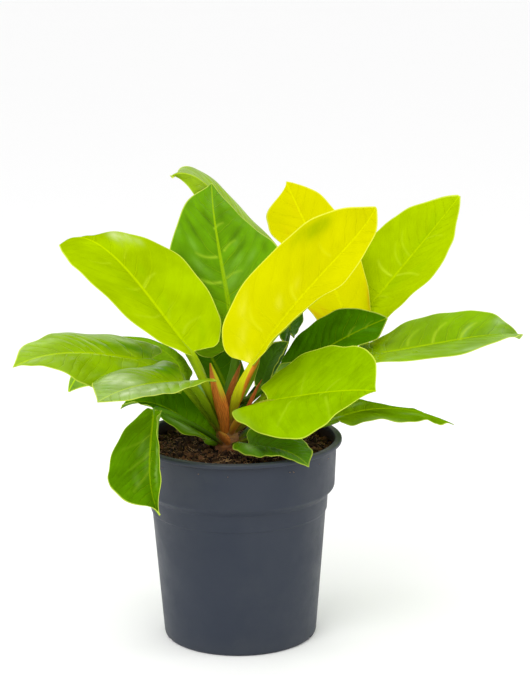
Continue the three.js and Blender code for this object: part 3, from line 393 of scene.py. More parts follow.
# ---------------------------------------------------------------- node trees in few words
class Web:
    """A node tree, with short words for the nodes that the pieces need."""

    def __init__(self, group):
        self.group = group

    def feed(self, value, socket):
        if isinstance(value, bpy.types.NodeSocket):
            self.group.links.new(value, socket)
        elif value is not None:
            socket.default_value = value

    def node(self, kind, inputs=None, **settings):
        made = self.group.nodes.new(kind)
        for key, value in settings.items():
            setattr(made, key, value)
        for key, value in (inputs or {}).items():
            self.feed(value, made.inputs[key])
        return made

    def out(self, kind, inputs=None, **settings):
        """The first output of a new node."""
        return self.node(kind, inputs, **settings).outputs[0]

    def gather(self, kind, parts):
        """A node whose one input takes many links."""
        made = self.node(kind)
        for part in parts:
            self.feed(part, made.inputs[0])
        return made.outputs[0]

    # numbers and directions
    def calc(self, operation, *values, clamp=False):
        """A number worked out from other numbers or sockets."""
        return self.out("ShaderNodeMath", dict(enumerate(values)), operation=operation,
                        use_clamp=clamp)

    def add(self, first, second):
        return self.calc("ADD", first, second)

    def mul(self, first, *others):
        for other in others:
            first = self.calc("MULTIPLY", first, other)
        return first

    def vector(self, operation, first, second=None):
        other = "Scale" if operation == "SCALE" else 1
        made = self.node("ShaderNodeVectorMath", {0: first, other: second}, operation=operation)
        return made.outputs["Value" if operation == "DOT_PRODUCT" else "Vector"]

    def point(self, x, y, z=None):
        return self.out("ShaderNodeCombineXYZ", {"X": x, "Y": y, "Z": z})

    def parts(self, vector):
        return self.node("ShaderNodeSeparateXYZ", {0: vector}).outputs

    def place(self):
        """Where a point, or a spot on the surface, lies on the piece."""
        if self.group.bl_idname == "GeometryNodeTree":
            return self.out("GeometryNodeInputPosition")
        return self.node("ShaderNodeTexCoord").outputs["Object"]

    def ease(self, value, low, high, to_low=0.0, to_high=1.0):
        """Smooth step of value from low to high."""
        return self.out("ShaderNodeMapRange",
                        {"Value": value, "From Min": low, "From Max": high,
                         "To Min": to_low, "To Max": to_high},
                        interpolation_type="SMOOTHSTEP", clamp=True)

    # surfaces
    def own(self, name):
        """A number stored on the piece's own points."""
        return self.node("ShaderNodeAttribute", attribute_name=name).outputs["Fac"]

    def mottle(self, scale, detail=3.0, roughness=0.55, stretch=None, where=None):
        """Noise in the piece's own place, in repeats per metre."""
        where = where or self.place()
        if stretch:
            where = self.out("ShaderNodeMapping", {"Vector": where, "Scale": stretch})
        return self.out("ShaderNodeTexNoise", {"Vector": where, "Scale": scale,
                                               "Detail": detail, "Roughness": roughness})

    def cast(self, scale, offset, detail, roughness=0.5):
        """Noise in three directions about zero, drawn from an offset place."""
        where = self.vector("ADD", self.place(), offset)
        noise = self.node("ShaderNodeTexNoise", {"Vector": where, "Scale": scale,
                                                 "Detail": detail, "Roughness": roughness})
        return self.vector("SUBTRACT", noise.outputs["Color"], (0.5, 0.5, 0.5))

    def blend(self, factor, first, second):
        """The first colour where factor is 0, the second where it is 1."""
        made = self.node("ShaderNodeMix", {"Factor": factor}, data_type="RGBA")
        for key, value in (("A", first), ("B", second)):
            socket = [s for s in made.inputs if s.name == key and s.type == "RGBA"][0]
            self.feed((*value, 1) if isinstance(value, tuple) else value, socket)
        return [s for s in made.outputs if s.type == "RGBA"][0]

    # geometry
    def read(self, name, kind="FLOAT"):
        return self.node("GeometryNodeInputNamedAttribute", {"Name": name},
                         data_type=kind).outputs["Attribute"]

    def store(self, geometry, name, value, domain="POINT"):
        return self.out("GeometryNodeStoreNamedAttribute",
                        {"Geometry": geometry, "Name": name, "Value": value},
                        data_type="FLOAT", domain=domain)

    def moved(self, geometry, **how):
        return self.out("GeometryNodeSetPosition", {"Geometry": geometry, **how})

    def realized(self, geometry):
        return self.out("GeometryNodeRealizeInstances", {"Geometry": geometry})

    def dressed(self, geometry, material):
        return self.out("GeometryNodeSetMaterial", {"Geometry": geometry, "Material": material})

    def close(self, geometry):
        """Ends the tree in a geometry; gives the tree itself."""
        self.feed(geometry, self.group.nodes.new("NodeGroupOutput").inputs[0])
        return self.group


def finish(name, colour_of, roughness_of=None, height_of=None, bump=0.0006, **fixed):
    """A material from functions that add its colour, roughness and height to the tree."""
    made = bpy.data.materials.new(name)
    made.use_nodes = True
    tree = Web(made.node_tree)
    shader = made.node_tree.nodes["Principled BSDF"]
    tree.feed(colour_of(tree), shader.inputs["Base Color"])
    if roughness_of:
        tree.feed(roughness_of(tree), shader.inputs["Roughness"])
    if height_of:
        relief = tree.out("ShaderNodeBump", {"Height": height_of(tree), "Distance": bump,
                                             "Strength": 1.0})
        tree.feed(relief, shader.inputs["Normal"])
    for key, value in fixed.items():
        shader.inputs[key.replace("_", " ")].default_value = value
    return made


def shifted(colour, scale, towards=(1, 1, 1), share=0.0):
    return tuple(min(1.0, c * scale * (1 - share) + t * share) for c, t in zip(colour, towards))


# ---------------------------------------------------------------- geometry nodes
def new_tree(name, inputs):
    """An empty Geometry Nodes tree; inputs maps a name to its default, or to its kind."""
    group = bpy.data.node_groups.new(name, "GeometryNodeTree")
    face = group.interface
    face.new_socket("Geometry", in_out="INPUT", socket_type="NodeSocketGeometry")
    for key, given in inputs.items():
        kind = given if isinstance(given, str) else "Int" if isinstance(given, int) else "Float"
        socket = face.new_socket(key, in_out="INPUT", socket_type="NodeSocket" + kind)
        if kind != given:
            socket.default_value = given
    face.new_socket("Geometry", in_out="OUTPUT", socket_type="NodeSocketGeometry")
    return Web(group), group.nodes.new("NodeGroupInput").outputs


def grown(source, group, settings, name):
    """The plain mesh that a tree makes of a mesh, with the tree's inputs set by name."""
    holder = bpy.data.objects.new(name + "_source", source)
    bpy.context.scene.collection.objects.link(holder)
    modifier = holder.modifiers.new("grow", "NODES")
    modifier.node_group = group
    for item in group.interface.items_tree:
        if item.item_type == "SOCKET" and item.in_out == "INPUT" and item.name in settings:
            modifier[item.identifier] = settings[item.name]
    graph = bpy.context.evaluated_depsgraph_get()
    mesh = bpy.data.meshes.new_from_object(
        holder.evaluated_get(graph), preserve_all_data_layers=True, depsgraph=graph)
    mesh.name = name
    bpy.data.objects.remove(holder)
    drop_empty_slots(mesh)
    return mesh


def drop_empty_slots(mesh):
    """Leaves only the material slots that hold a material."""
    kept = [i for i, material in enumerate(mesh.materials) if material]
    place = np.zeros(len(mesh.polygons), np.int32)
    mesh.polygons.foreach_get("material_index", place)
    new_place = np.array([kept.index(i) if i in kept else 0
                          for i in range(max(1, len(mesh.materials)))], np.int32)[place]
    materials = [mesh.materials[i] for i in kept]
    mesh.materials.clear()
    for material in materials:
        mesh.materials.append(material)
    mesh.polygons.foreach_set("material_index", new_place)


# ---------------------------------------------------------------- meshes from numbers
def with_numbers(mesh, numbers):
    """Stores numbers, or directions, on the mesh's points by name."""
    for key, values in numbers.items():
        values = np.asarray(values, np.float32)
        kind, slot = ("FLOAT_VECTOR", "vector") if values.ndim == 2 else ("FLOAT", "value")
        mesh.attributes.new(key, kind, "POINT").data.foreach_set(slot, values.ravel())
    return mesh


def mesh_from(name, points, faces, numbers=None):
    """A smooth mesh from points in millimetres."""
    mesh = bpy.data.meshes.new(name)
    mesh.from_pydata([tuple(p) for p in np.asarray(points, float) * MM], [], faces)
    with_numbers(mesh, numbers or {})
    mesh.update()
    mesh.shade_smooth()
    return mesh


def line_from(name, points, numbers=None):
    """A chain of edges through points in millimetres."""
    mesh = bpy.data.meshes.new(name)
    mesh.from_pydata([tuple(p) for p in np.asarray(points, float) * MM],
                     [(i, i + 1) for i in range(len(points) - 1)], [])
    return with_numbers(mesh, numbers or {})


def face_outwards(mesh, crisp=None, split=False):
    """Turns a closed mesh's faces outwards.

    crisp leaves edges sharper than so many degrees unsmoothed, split cuts up its many-sided ends.
    """
    work = bmesh.new()
    work.from_mesh(mesh)
    if split:
        bmesh.ops.triangulate(work, faces=[f for f in work.faces if len(f.verts) > 4])
    bmesh.ops.recalc_face_normals(work, faces=work.faces)
    if crisp:
        limit = math.radians(crisp)
        for edge in work.edges:
            edge.smooth = not (len(edge.link_faces) == 2 and edge.calc_face_angle(0) > limit)
    work.to_mesh(mesh)
    work.free()


def place_piece(name, mesh, slot, *nodes):
    """A finished piece on the frame's only body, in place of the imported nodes."""
    piece = bpy.data.objects.new(name, mesh)
    bpy.context.scene.collection.objects.link(piece)
    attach(piece, "root")
    if nodes:
        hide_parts(*nodes)
    return piece


def grid_faces(rows, columns, start=0, flip=False, wrap=False):
    """Quads over a grid of points; wrap joins the last column to the first."""
    faces = []
    for i in range(rows - 1):
        for j in range(columns if wrap else columns - 1):
            k = (j + 1) % columns
            quad = (start + i * columns + j, start + (i + 1) * columns + j,
                    start + (i + 1) * columns + k, start + i * columns + k)
            faces.append(quad[::-1] if flip else quad)
    return faces


# ---------------------------------------------------------------- pot
def rounded(corners, steps=5):
    """A profile of (radius, height, rounding) with each corner rounded off."""
    line = []
    for i, (r, z, soft) in enumerate(corners):
        here = np.array((r, z), float)
        if soft <= 0 or i in (0, len(corners) - 1):
            line.append(here)
            continue
        before = np.array(corners[i - 1][:2], float) - here
        after = np.array(corners[i + 1][:2], float) - here
        a = here + before * min(0.48, soft / np.linalg.norm(before))
        b = here + after * min(0.48, soft / np.linalg.norm(after))
        for k in range(steps + 1):
            t = k / steps
            line.append((1 - t) ** 2 * a + 2 * t * (1 - t) * here + t * t * b)
    return np.array(line)


def round_points(x, y, height):
    """Points from two grids of the same shape, at a height."""
    return np.stack([x, y, height + 0 * x], -1).reshape(-1, 3)


def pot_profile(wall):
    outside = [
        (0, 0, 0), (86.5, 0, 1.6), (88.5, 1.5, 1.0), (89.3, 4.5, 1.0), (101, 151, 1.0),
        (102.5, 152.6, 0.7), (103.6, 171, 1.6), (111.4, 179.5, 2.2), (113.8, 229.4, 0.7),
        (113.5, 230.9, 0.5), (118.7, 230.9, 1.2), (120, 232.2, 1.2), (120, 235.1, 1.2),
        (118.7, LIP_TOP, 1.2), (113, LIP_TOP, 0.8), (112.2, LIP_TOP - 0.8, 0.8),
    ]
    inside = [(r - wall, z, soft) for (r, z), soft in zip(WALL_BENDS, (2, 1.6, 1))]
    return rounded(outside + inside + [(FLOOR_RADIUS - wall, FLOOR_TOP, 1.2), (0, FLOOR_TOP, 0)])


def turning_tree():
    """Turns a profile round the upright axis and takes holes and notches out of it."""
    tree, given = new_tree("turned_pot", {
        "Facets": 168, "Drain holes": 6, "Hole radius": 6 * MM, "Hole ring": 56 * MM,
        "Notch width": 8 * MM, "Notch height": 3.8 * MM, "Base radius": FLOOR_RADIUS * MM,
        "Material": "Material"})
    count = tree.node("GeometryNodeAttributeDomainSize", {"Geometry": given["Geometry"]},
                      component="MESH").outputs["Point Count"]
    sheet = tree.out("GeometryNodeMeshGrid", {"Size X": 1.0, "Size Y": 1.0, "Vertices X": count,
                                              "Vertices Y": tree.add(given["Facets"], 1.0)})
    spot = tree.parts(tree.place())
    row = tree.calc("ROUND", tree.mul(tree.add(spot["X"], 0.5),
                                      tree.calc("SUBTRACT", count, 1.0)))
    turn = tree.mul(tree.add(spot["Y"], 0.5), 2 * math.pi)
    at = tree.parts(tree.out("GeometryNodeSampleIndex",
                             {"Geometry": given["Geometry"], "Value": tree.place(), "Index": row},
                             data_type="FLOAT_VECTOR", domain="POINT"))
    turned = tree.moved(sheet, Position=tree.point(
        tree.mul(at["X"], tree.calc("COSINE", turn)), tree.mul(at["X"], tree.calc("SINE", turn)),
        at["Z"]))
    turned = tree.out("GeometryNodeMergeByDistance", {"Geometry": turned, "Distance": 0.01 * MM})

    ring = tree.out("GeometryNodeMeshCircle", {"Vertices": given["Drain holes"],
                                               "Radius": given["Hole ring"]})
    ring = tree.out("GeometryNodeTransform",
                    {"Geometry": ring, "Rotation": (0, 0, math.radians(30))})
    drill = tree.out("GeometryNodeMeshCylinder",
                     {"Vertices": 28, "Radius": given["Hole radius"], "Depth": 20 * MM})
    cutters = [tree.out("GeometryNodeInstanceOnPoints", {"Points": ring, "Instance": drill})]
    block = tree.out("GeometryNodeMeshCube", {"Size": tree.point(
        24 * MM, given["Notch width"], tree.mul(given["Notch height"], 2.0))})
    for degrees in NOTCH_TURNS:
        angle = math.radians(degrees)
        outward = tree.vector("SCALE", (math.cos(angle), math.sin(angle), 0),
                              given["Base radius"])
        cutters.append(tree.out("GeometryNodeTransform", {
            "Geometry": block, "Rotation": (0, 0, angle), "Translation": outward}))
    cutters = tree.realized(tree.gather("GeometryNodeJoinGeometry", cutters))
    cut = tree.out("GeometryNodeMeshBoolean", {"Mesh 1": turned, "Mesh 2": cutters},
                   operation="DIFFERENCE", solver="EXACT")
    return tree.close(tree.dressed(tree.realized(cut), given["Material"]))


def pot_plastic(settings):
    dust_and_lip_highlight = tuple(settings.dust_and_lip_highlight)

    def colour(tree):
        where = tree.place()
        level = tree.parts(where)["Z"]
        # dust in clouds and runs, more of it low down, and a painted highlight that pales the
        # lip's top
        dust = tree.ease(tree.mottle(9, 5, 0.65), 0.42, 0.75)
        streak = tree.ease(tree.mottle(14, 3, 0.5, (1, 1, 0.12)), 0.4, 0.8)
        low = tree.ease(level, 0.0, 30 * MM, 0.5, 0.0)
        tone = tree.calc("MAXIMUM", tree.mul(dust, 0.28), tree.mul(streak, 0.22))
        tone = tree.add(tone, tree.mul(low, 0.35))
        # painted highlight: the top of the lip is made pale as if lit from above
        edge = tree.ease(level, (LIP_TOP - 2.9) * MM, (LIP_TOP - 0.2) * MM, 0.0, 0.55)
        tone = tree.calc("MAXIMUM", tone, edge, clamp=True)
        speck = tree.ease(tree.mottle(700, 2, 0.5), 0.7, 0.78, 0.0, 0.35)
        base = tree.blend(tone, tuple(settings.plastic), dust_and_lip_highlight)
        base = tree.blend(speck, base, dust_and_lip_highlight)
        # the inner wall is dark brown up to a ragged line: there the surface faces the pot's axis
        facing = tree.node("ShaderNodeNewGeometry").outputs["Normal"]
        inner = tree.calc("LESS_THAN", tree.vector("DOT_PRODUCT", facing, where), -0.05)
        ragged = tree.add(level, tree.mul(tree.mottle(40, 4, 0.7), 12 * MM))
        inner_dark = tree.mul(inner, tree.ease(ragged, 0.239, 0.236))
        return tree.blend(inner_dark, base, (0.022, 0.009, 0.005))

    def roughness(tree):
        return tree.ease(tree.mottle(30, 4, 0.6), 0.3, 0.7, 0.42, 0.56)

    def height(tree):
        return tree.add(tree.mul(tree.mottle(1 / settings.grain, 2, 0.6), 0.35),
                        tree.mul(tree.mottle(60, 2, 0.5), 0.5))

    return finish("pot_satin_plastic", colour, roughness, height, 0.00035,
                  Specular_IOR_Level=0.3)


# ---------------------------------------------------------------- soil
def soil_bed():
    """The fill of the pot: an uneven crumbly top over a plain closed body."""
    wall = WALL + SOIL_PLAY
    top_radius = SOIL_RIM - wall
    rng = np.random.default_rng(7)
    turns = 160
    angle = np.arange(turns) * 2 * math.pi / turns
    radii = np.concatenate([np.linspace(13.0, top_radius - 3, 62), [top_radius - 0.6]])

    x = radii[:, None] * np.cos(angle)
    y = radii[:, None] * np.sin(angle)
    lift = np.zeros_like(x)
    for scale, height in ((0.03, 1.5), (0.07, 1.1), (0.16, 0.8), (0.4, 0.5), (0.9, 0.3)):
        for _ in range(5):
            way = rng.uniform(0, 2 * math.pi)
            phase = rng.uniform(0, 2 * math.pi)
            bend = rng.uniform(0.7, 1.4) * scale * 2 * math.pi
            lift += height * 0.55 * np.sin(
                (x * math.cos(way) + y * math.sin(way)) * bend
                + phase + 1.7 * np.sin(bend * 0.6 * (x * math.sin(way) - y * math.cos(way))))
    z = SOIL_TOP + np.clip(lift, -4, 4) * np.clip((top_radius - radii[:, None]) / 14, 0.3, 1)
    z[-1] = SOIL_EDGE
    floor = FLOOR_TOP + SOIL_PLAY
    below = [(top_radius - 0.2, 214), *((r - wall, h) for r, h in WALL_BENDS),
             (FLOOR_RADIUS - wall, floor)]
    points = [round_points(x, y, z)]
    points += [round_points(r * np.cos(angle), r * np.sin(angle), h) for r, h in below]
    points = np.concatenate(points + [np.array([[0, 0, 221], [0, 0, floor]])])
    rows = len(radii) + len(below)
    faces = grid_faces(rows, turns, wrap=True)
    middle, last = rows * turns, (rows - 1) * turns
    for k in range(turns):
        faces.append((middle, k, (k + 1) % turns))
        faces.append((last + (k + 1) % turns, last + k, middle + 1))
    top = np.zeros(len(points))
    top[: len(radii) * turns] = 1
    top[middle] = 1
    # keep litter off the stem's foot and the outermost ring
    reach = np.hypot(points[:, 0], points[:, 1])
    near = np.hypot(points[:, 0] - STEM_AXIS[0], points[:, 1] - STEM_AXIS[1])
    litter = top * (reach < top_radius - 2) * np.clip((near - 15) / 3, 0, 1)
    return mesh_from("soil_bed", points, faces, {"litter": litter})


def litter_tree():
    """Scatters crumbs and bent fibres over the points whose litter number is 1."""
    tree, given = new_tree("soil_litter", {
        "Crumbs per area": 48000.0, "Crumb size": 4.6 * MM, "Fibres per area": 17000.0,
        "Fibre length": 17 * MM, "Seed": 11, "Crumb material": "Material",
        "Fibre material": "Material"})

    def draw(low, high, offset):
        """A random number, or vector, for each copy."""
        vector = isinstance(low, tuple)
        made = tree.node("FunctionNodeRandomValue",
                         data_type="FLOAT_VECTOR" if vector else "FLOAT")
        by_id = {s.identifier: s for s in made.inputs}
        tail = "" if vector else "_001"
        tree.feed(low, by_id["Min" + tail])
        tree.feed(high, by_id["Max" + tail])
        tree.feed(tree.add(given["Seed"], float(offset)), by_id["Seed"])
        return made.outputs[0 if vector else 1]

    def scattered(per_area, shapes, seeds, turns, scale, material):
        """Copies of the shapes on the soil, each with a random shade."""
        points = tree.out("GeometryNodeDistributePointsOnFaces", {
            "Mesh": given["Geometry"], "Seed": tree.add(given["Seed"], float(seeds[0])),
            "Density": tree.mul(given[per_area], tree.read("litter"))},
            distribute_method="RANDOM")
        copies = tree.out("GeometryNodeInstanceOnPoints", {
            "Points": points, "Pick Instance": True, "Scale": scale,
            "Instance": tree.gather("GeometryNodeGeometryToInstance", shapes),
            "Rotation": draw(*turns, seeds[1])})
        copies = tree.store(copies, "shade", draw(0.0, 1.0, seeds[2]), domain="INSTANCE")
        return tree.realized(copies), given[material]

    # crumbs: small lumps with a few dozen faces, squashed and turned at random
    lumps = []
    for k in range(4):
        block = tree.out("GeometryNodeMeshCube", {"Size": (2.0, 2.0, 2.0), "Vertices X": 3,
                                                  "Vertices Y": 3, "Vertices Z": 3})
        ball = tree.moved(block, Position=tree.vector("NORMALIZE", tree.place()))
        dent = tree.cast(1.1, (7.0 * k, 3.0 * k, 0.0), 2.0, 0.6)
        lumps.append(tree.moved(ball, Offset=tree.vector("SCALE", dent, 1.5)))
    size = tree.mul(given["Crumb size"], tree.calc("POWER", draw(0.0, 1.0, 2), 2.4))
    squash = tree.vector("SCALE", draw((0.6, 0.6, 0.35), (1.3, 1.0, 0.8), 3),
                         tree.add(size, 0.0004))
    crumbs = tree.dressed(*scattered("Crumbs per area", lumps, (1, 4, 5),
                                     ((0, 0, 0), (6.28, 6.28, 6.28)), squash, "Crumb material"))

    # fibres: bent strands, swept with a three-sided section
    strands = []
    for k in range(4):
        line = tree.out("GeometryNodeCurvePrimitiveLine",
                        {"Start": (-0.5, 0, 0), "End": (0.5, 0, 0)})
        line = tree.out("GeometryNodeResampleCurve", {"Curve": line, "Count": 9})
        bow = tree.vector("MULTIPLY", tree.cast(2.2, (5.0 * k, 0.0, 2.0 * k), 1.0),
                          (0.3, 0.9, 0.55))
        section = tree.out("GeometryNodeCurvePrimitiveCircle", {"Resolution": 3, "Radius": 0.02})
        strands.append(tree.out("GeometryNodeCurveToMesh", {
            "Curve": tree.moved(line, Offset=bow), "Profile Curve": section, "Fill Caps": True}))
    length = tree.mul(given["Fibre length"], tree.add(0.3, tree.mul(0.7, draw(0.0, 1.0, 22))))
    fibres, material = scattered("Fibres per area", strands, (21, 23, 24),
                                 ((-0.25, -0.3, 0), (0.25, 0.3, 6.28)), length, "Fibre material")
    fibres = tree.dressed(tree.moved(fibres, Offset=(0.0, 0.0, 0.0009)), material)
    return tree.close(tree.realized(tree.gather("GeometryNodeJoinGeometry", (crumbs, fibres))))


def soil_finishes(settings):
    peat, bark, coir = tuple(settings.peat), tuple(settings.bark), tuple(settings.coir)

    def bed_colour(tree):
        patch = tree.ease(tree.mottle(110, 5, 0.7), 0.42, 0.7)
        fine = tree.ease(tree.mottle(480, 3, 0.7), 0.55, 0.72)
        return tree.blend(fine, tree.blend(patch, shifted(peat, 0.35), peat), bark)

    def crumb_colour(tree):
        fine = tree.ease(tree.mottle(1500, 3, 0.7), 0.4, 0.7)
        base = tree.blend(tree.ease(tree.own("shade"), 0.5, 0.95), peat, bark)
        return tree.blend(tree.mul(fine, 0.2), base, coir)

    def fibre_colour(tree):
        fine = tree.ease(tree.mottle(800, 2, 0.6), 0.35, 0.7)
        base = tree.blend(tree.own("shade"), bark, coir)
        return tree.blend(tree.mul(fine, 0.4), base, shifted(coir, 1.6))

    rough = dict(Roughness=0.95, Specular_IOR_Level=0.2)
    return (finish("soil_peat", bed_colour, None, lambda t: t.mottle(700, 5, 0.75), 0.0015,
                   **rough),
            finish("soil_crumb", crumb_colour, None, lambda t: t.mottle(1800, 4, 0.7), 0.0006,
                   **rough),
            finish("soil_fibre", fibre_colour, None, lambda t: t.mottle(2500, 2, 0.6), 0.0002,
                   Roughness=0.75, Specular_IOR_Level=0.3))


# ---------------------------------------------------------------- stem
def stem_radius(height):
    heights, radii = zip(*STEM_PROFILE)
    return float(np.interp(height, heights, radii))


def foot_on_stem(place, sunk):
    """Where a stalk or sheath leaves the stem, and the way it faces there."""
    turn, height = place
    facing = math.radians(turn)
    outward = np.array([math.cos(facing), math.sin(facing), 0])
    foot = np.array([*STEM_AXIS, height]) + outward * (stem_radius(height) - sunk)
    return foot, outward


def leaning(outward, degrees):
    lean = math.radians(degrees)
    return math.sin(lean) * outward + np.array([0, 0, math.cos(lean)])


def stem_mesh():
    """The short stem with the ring scars that fallen leaves leave."""
    turns = 56
    foot, crown = STEM_PROFILE[0][0], STEM_PROFILE[-1][0]
    heights = np.linspace(foot, crown + 2.5, 74)
    angle = np.arange(turns) * 2 * math.pi / turns
    rings = []
    for h in heights:
        radius = stem_radius(min(h, crown)) - max(0, h - crown) ** 2 * 0.7
        scar = 0.5 * max(0.0, math.sin(h * 0.78)) ** 6
        wobble = 0.25 * np.sin(3 * angle + h * 0.11) + 0.15 * np.sin(7 * angle - h * 0.3)
        r = radius - 0.35 + scar + wobble * (h < crown - 2)
        rings.append(round_points(STEM_AXIS[0] + r * np.cos(angle),
                                  STEM_AXIS[1] + r * np.sin(angle), h))
    points = np.concatenate(rings)
    count = len(heights)
    faces = grid_faces(count, turns, flip=True, wrap=True)
    points = np.vstack([points, [[*STEM_AXIS, foot], [*STEM_AXIS, crown + 2.8]]])
    low, high = count * turns, count * turns + 1
    last = (count - 1) * turns
    for k in range(turns):
        faces.append((low, (k + 1) % turns, k))
        faces.append((last + k, last + (k + 1) % turns, high))
    return mesh_from("stem_skin", points, faces)


def stem_bark():
    def colour(tree):
        up = tree.ease(tree.parts(tree.place())["Z"], 0.222, 0.262)
        base = tree.blend(up, (0.36, 0.12, 0.035), (0.36, 0.22, 0.02))
        ring = tree.ease(tree.mottle(60, 3, 0.6, (1, 1, 9)), 0.45, 0.7)
        base = tree.blend(tree.mul(ring, 0.6), base, (0.13, 0.05, 0.018))
        flecks = tree.ease(tree.mottle(300, 4, 0.6), 0.55, 0.75, 0, 0.4)
        return tree.blend(flecks, base, (0.58, 0.28, 0.1))

    return finish("stem_bark", colour,
                  lambda t: t.ease(t.mottle(200, 3, 0.6), 0.3, 0.7, 0.45, 0.75),
                  lambda t: t.mottle(160, 5, 0.65, (1, 1, 4)), 0.0012)


# ---------------------------------------------------------------- leaves
def bezier(points, t):
    p = np.asarray(points, float)
    t = np.asarray(t, float)[..., None]
    s = 1 - t
    return s ** 3 * p[0] + 3 * s * s * t * p[1] + 3 * s * t * t * p[2] + t ** 3 * p[3]


def seed_of(name):
    """A number of the piece's own, so that no two leaves ripple or speckle alike."""
    return sum(ord(c) for c in name)


def edge_of_half(u, lobe):
    """Edge of a half blade: share of the length along, share of the half width across."""
    basal = ((-0.085 * lobe, 0.4), (-0.1 * lobe, 0.78), (0.1, 1), (0.36, 1))
    distal = ((0.36, 1), (0.66, 1), (0.86, 0.42), (1, 0.02))
    low = bezier(basal, np.clip(u / WIDEST, 0, 1))
    high = bezier(distal, np.clip((u - WIDEST) / (1 - WIDEST), 0, 1))
    return np.where((u < WIDEST)[:, None], low, high)


class Spine:
    """The midrib's course: points and the directions along, left and up at each."""

    STEPS = 48

    def __init__(self, leaf):
        self.share = np.linspace(0, 1, self.STEPS + 1)

        def angle(key, power=1.0):
            start, end = leaf[key]
            return np.radians(start + (end - start) * self.share ** power)

        heading, pitch, roll = angle("heading"), angle("pitch", leaf["bend"]), angle("roll")
        self.along = np.stack([np.cos(pitch) * np.cos(heading), np.cos(pitch) * np.sin(heading),
                               np.sin(pitch)], 1)
        level = np.stack([-np.sin(pitch) * np.cos(heading), -np.sin(pitch) * np.sin(heading),
                          np.cos(pitch)], 1)
        side = np.cross(level, self.along)
        self.left = np.cos(roll)[:, None] * side + np.sin(roll)[:, None] * level
        self.up = -np.sin(roll)[:, None] * side + np.cos(roll)[:, None] * level
        steps = (self.along[1:] + self.along[:-1]) / 2 * leaf["length"] / self.STEPS
        self.point = np.array(leaf["at"], float) + np.vstack([np.zeros(3), np.cumsum(steps, 0)])

    def at(self, share):
        share = np.clip(share, 0, 1)
        return [np.stack([np.interp(share, self.share, part[:, k]) for k in range(3)], -1)
                for part in (self.point, self.along, self.left, self.up)]


def blade_surface(leaf, spine, us, vs):
    """Points of the blade's middle surface; v runs from the right edge, -1, to the left, 1."""
    edge = edge_of_half(us, leaf["lobe"])
    edge_along, edge_across = edge[:, :1], edge[:, 1:]
    reach = np.abs(vs)[None, :]
    hand = np.where(vs >= 0, 1.0, -1.0)[None, :]
    start = us[:, None] ** 1.15
    along = start + (edge_along - start) * reach ** 1.3
    width = edge_across * reach * leaf["half"]
    fold = np.radians(leaf["fold"][0] + (leaf["fold"][1] - leaf["fold"][0]) * us)[:, None]
    curl = np.radians(np.where(hand > 0, leaf["curl"][0], leaf["curl"][1]))
    out = np.zeros_like(width)
    lift = np.zeros_like(width)
    for k in range(8):
        place = (k + 0.5) / 8 * edge_across * reach
        angle = fold + curl * place * place
        out += np.cos(angle) * width / 8
        lift += np.sin(angle) * width / 8
    height, count, left_phase, right_phase = leaf["wave"]
    phase = np.where(hand > 0, left_phase, right_phase)
    swell = height * reach ** 2 * np.clip(edge_across * 1.5, 0, 1)
    lift += swell * np.sin(2 * math.pi * (count * us[:, None] + phase))
    seed = seed_of(leaf["name"])
    ripple = reach ** 4 * np.clip(edge_across * 1.2, 0, 1)
    lift += 0.7 * ripple * np.sin(2 * math.pi * (7.3 * us[:, None] + 0.37 * seed + hand * 0.2))
    for k, station in enumerate(EDGE_STATIONS):
        push = np.where(hand > 0, leaf.get("left", LEVEL)[k], leaf.get("right", LEVEL)[k])
        out += push * np.exp(-((us[:, None] - station) / EDGE_SPREAD) ** 2) * reach ** 2
    point, ahead, left, up = spine.at(along)
    beyond = (along - np.clip(along, 0, 1)) * leaf["length"]
    return (point + ahead * beyond[..., None] + left * (hand * out)[..., None]
            + up * lift[..., None]), width * hand


def unit(vectors):
    return vectors / np.maximum(np.linalg.norm(vectors, axis=-1, keepdims=True), 1e-12)


def patches(marks, us, vs, drift):
    """Soft spots on a blade, drawn out along its side veins.

    Each has its place along and across, its spread along and across, and its strength.
    """
    total = np.zeros((len(us), len(vs)))
    for u, v, long, broad, strength in marks:
        lean = drift - np.interp(abs(v), np.sort(np.abs(vs)), np.sort(drift[len(us) // 2]))
        total += strength * np.exp(-((us[:, None] - u - lean) / long) ** 2
                                   - ((vs[None, :] - v) / broad) ** 2)
    return np.clip(total, 0, 1)


def nerves(lines, leaf, us, vs):
    """Side veins that stand out: both ends along and across, strength."""
    across = us[:, None] * leaf["length"] + 0 * vs[None, :]
    broad = vs[None, :] * leaf["half"] + 0 * us[:, None]
    total = np.zeros((len(us), len(vs)))
    for u, v, end_u, end_v, strength in lines:
        start = np.array([u * leaf["length"], v * leaf["half"]])
        run = np.array([end_u * leaf["length"], end_v * leaf["half"]]) - start
        share = ((across - start[0]) * run[0] + (broad - start[1]) * run[1]) / (run @ run)
        share = np.clip(share, 0, 1)
        bow = 0.08 * np.sin(math.pi * share)
        apart = np.hypot(across - start[0] - share * run[0] + bow * run[1],
                         broad - start[1] - share * run[1] - bow * run[0])
        total += strength * (1 - 0.6 * share) * np.exp(-(apart / VEIN_REACH) ** 2)
    return np.clip(total, 0, 1)


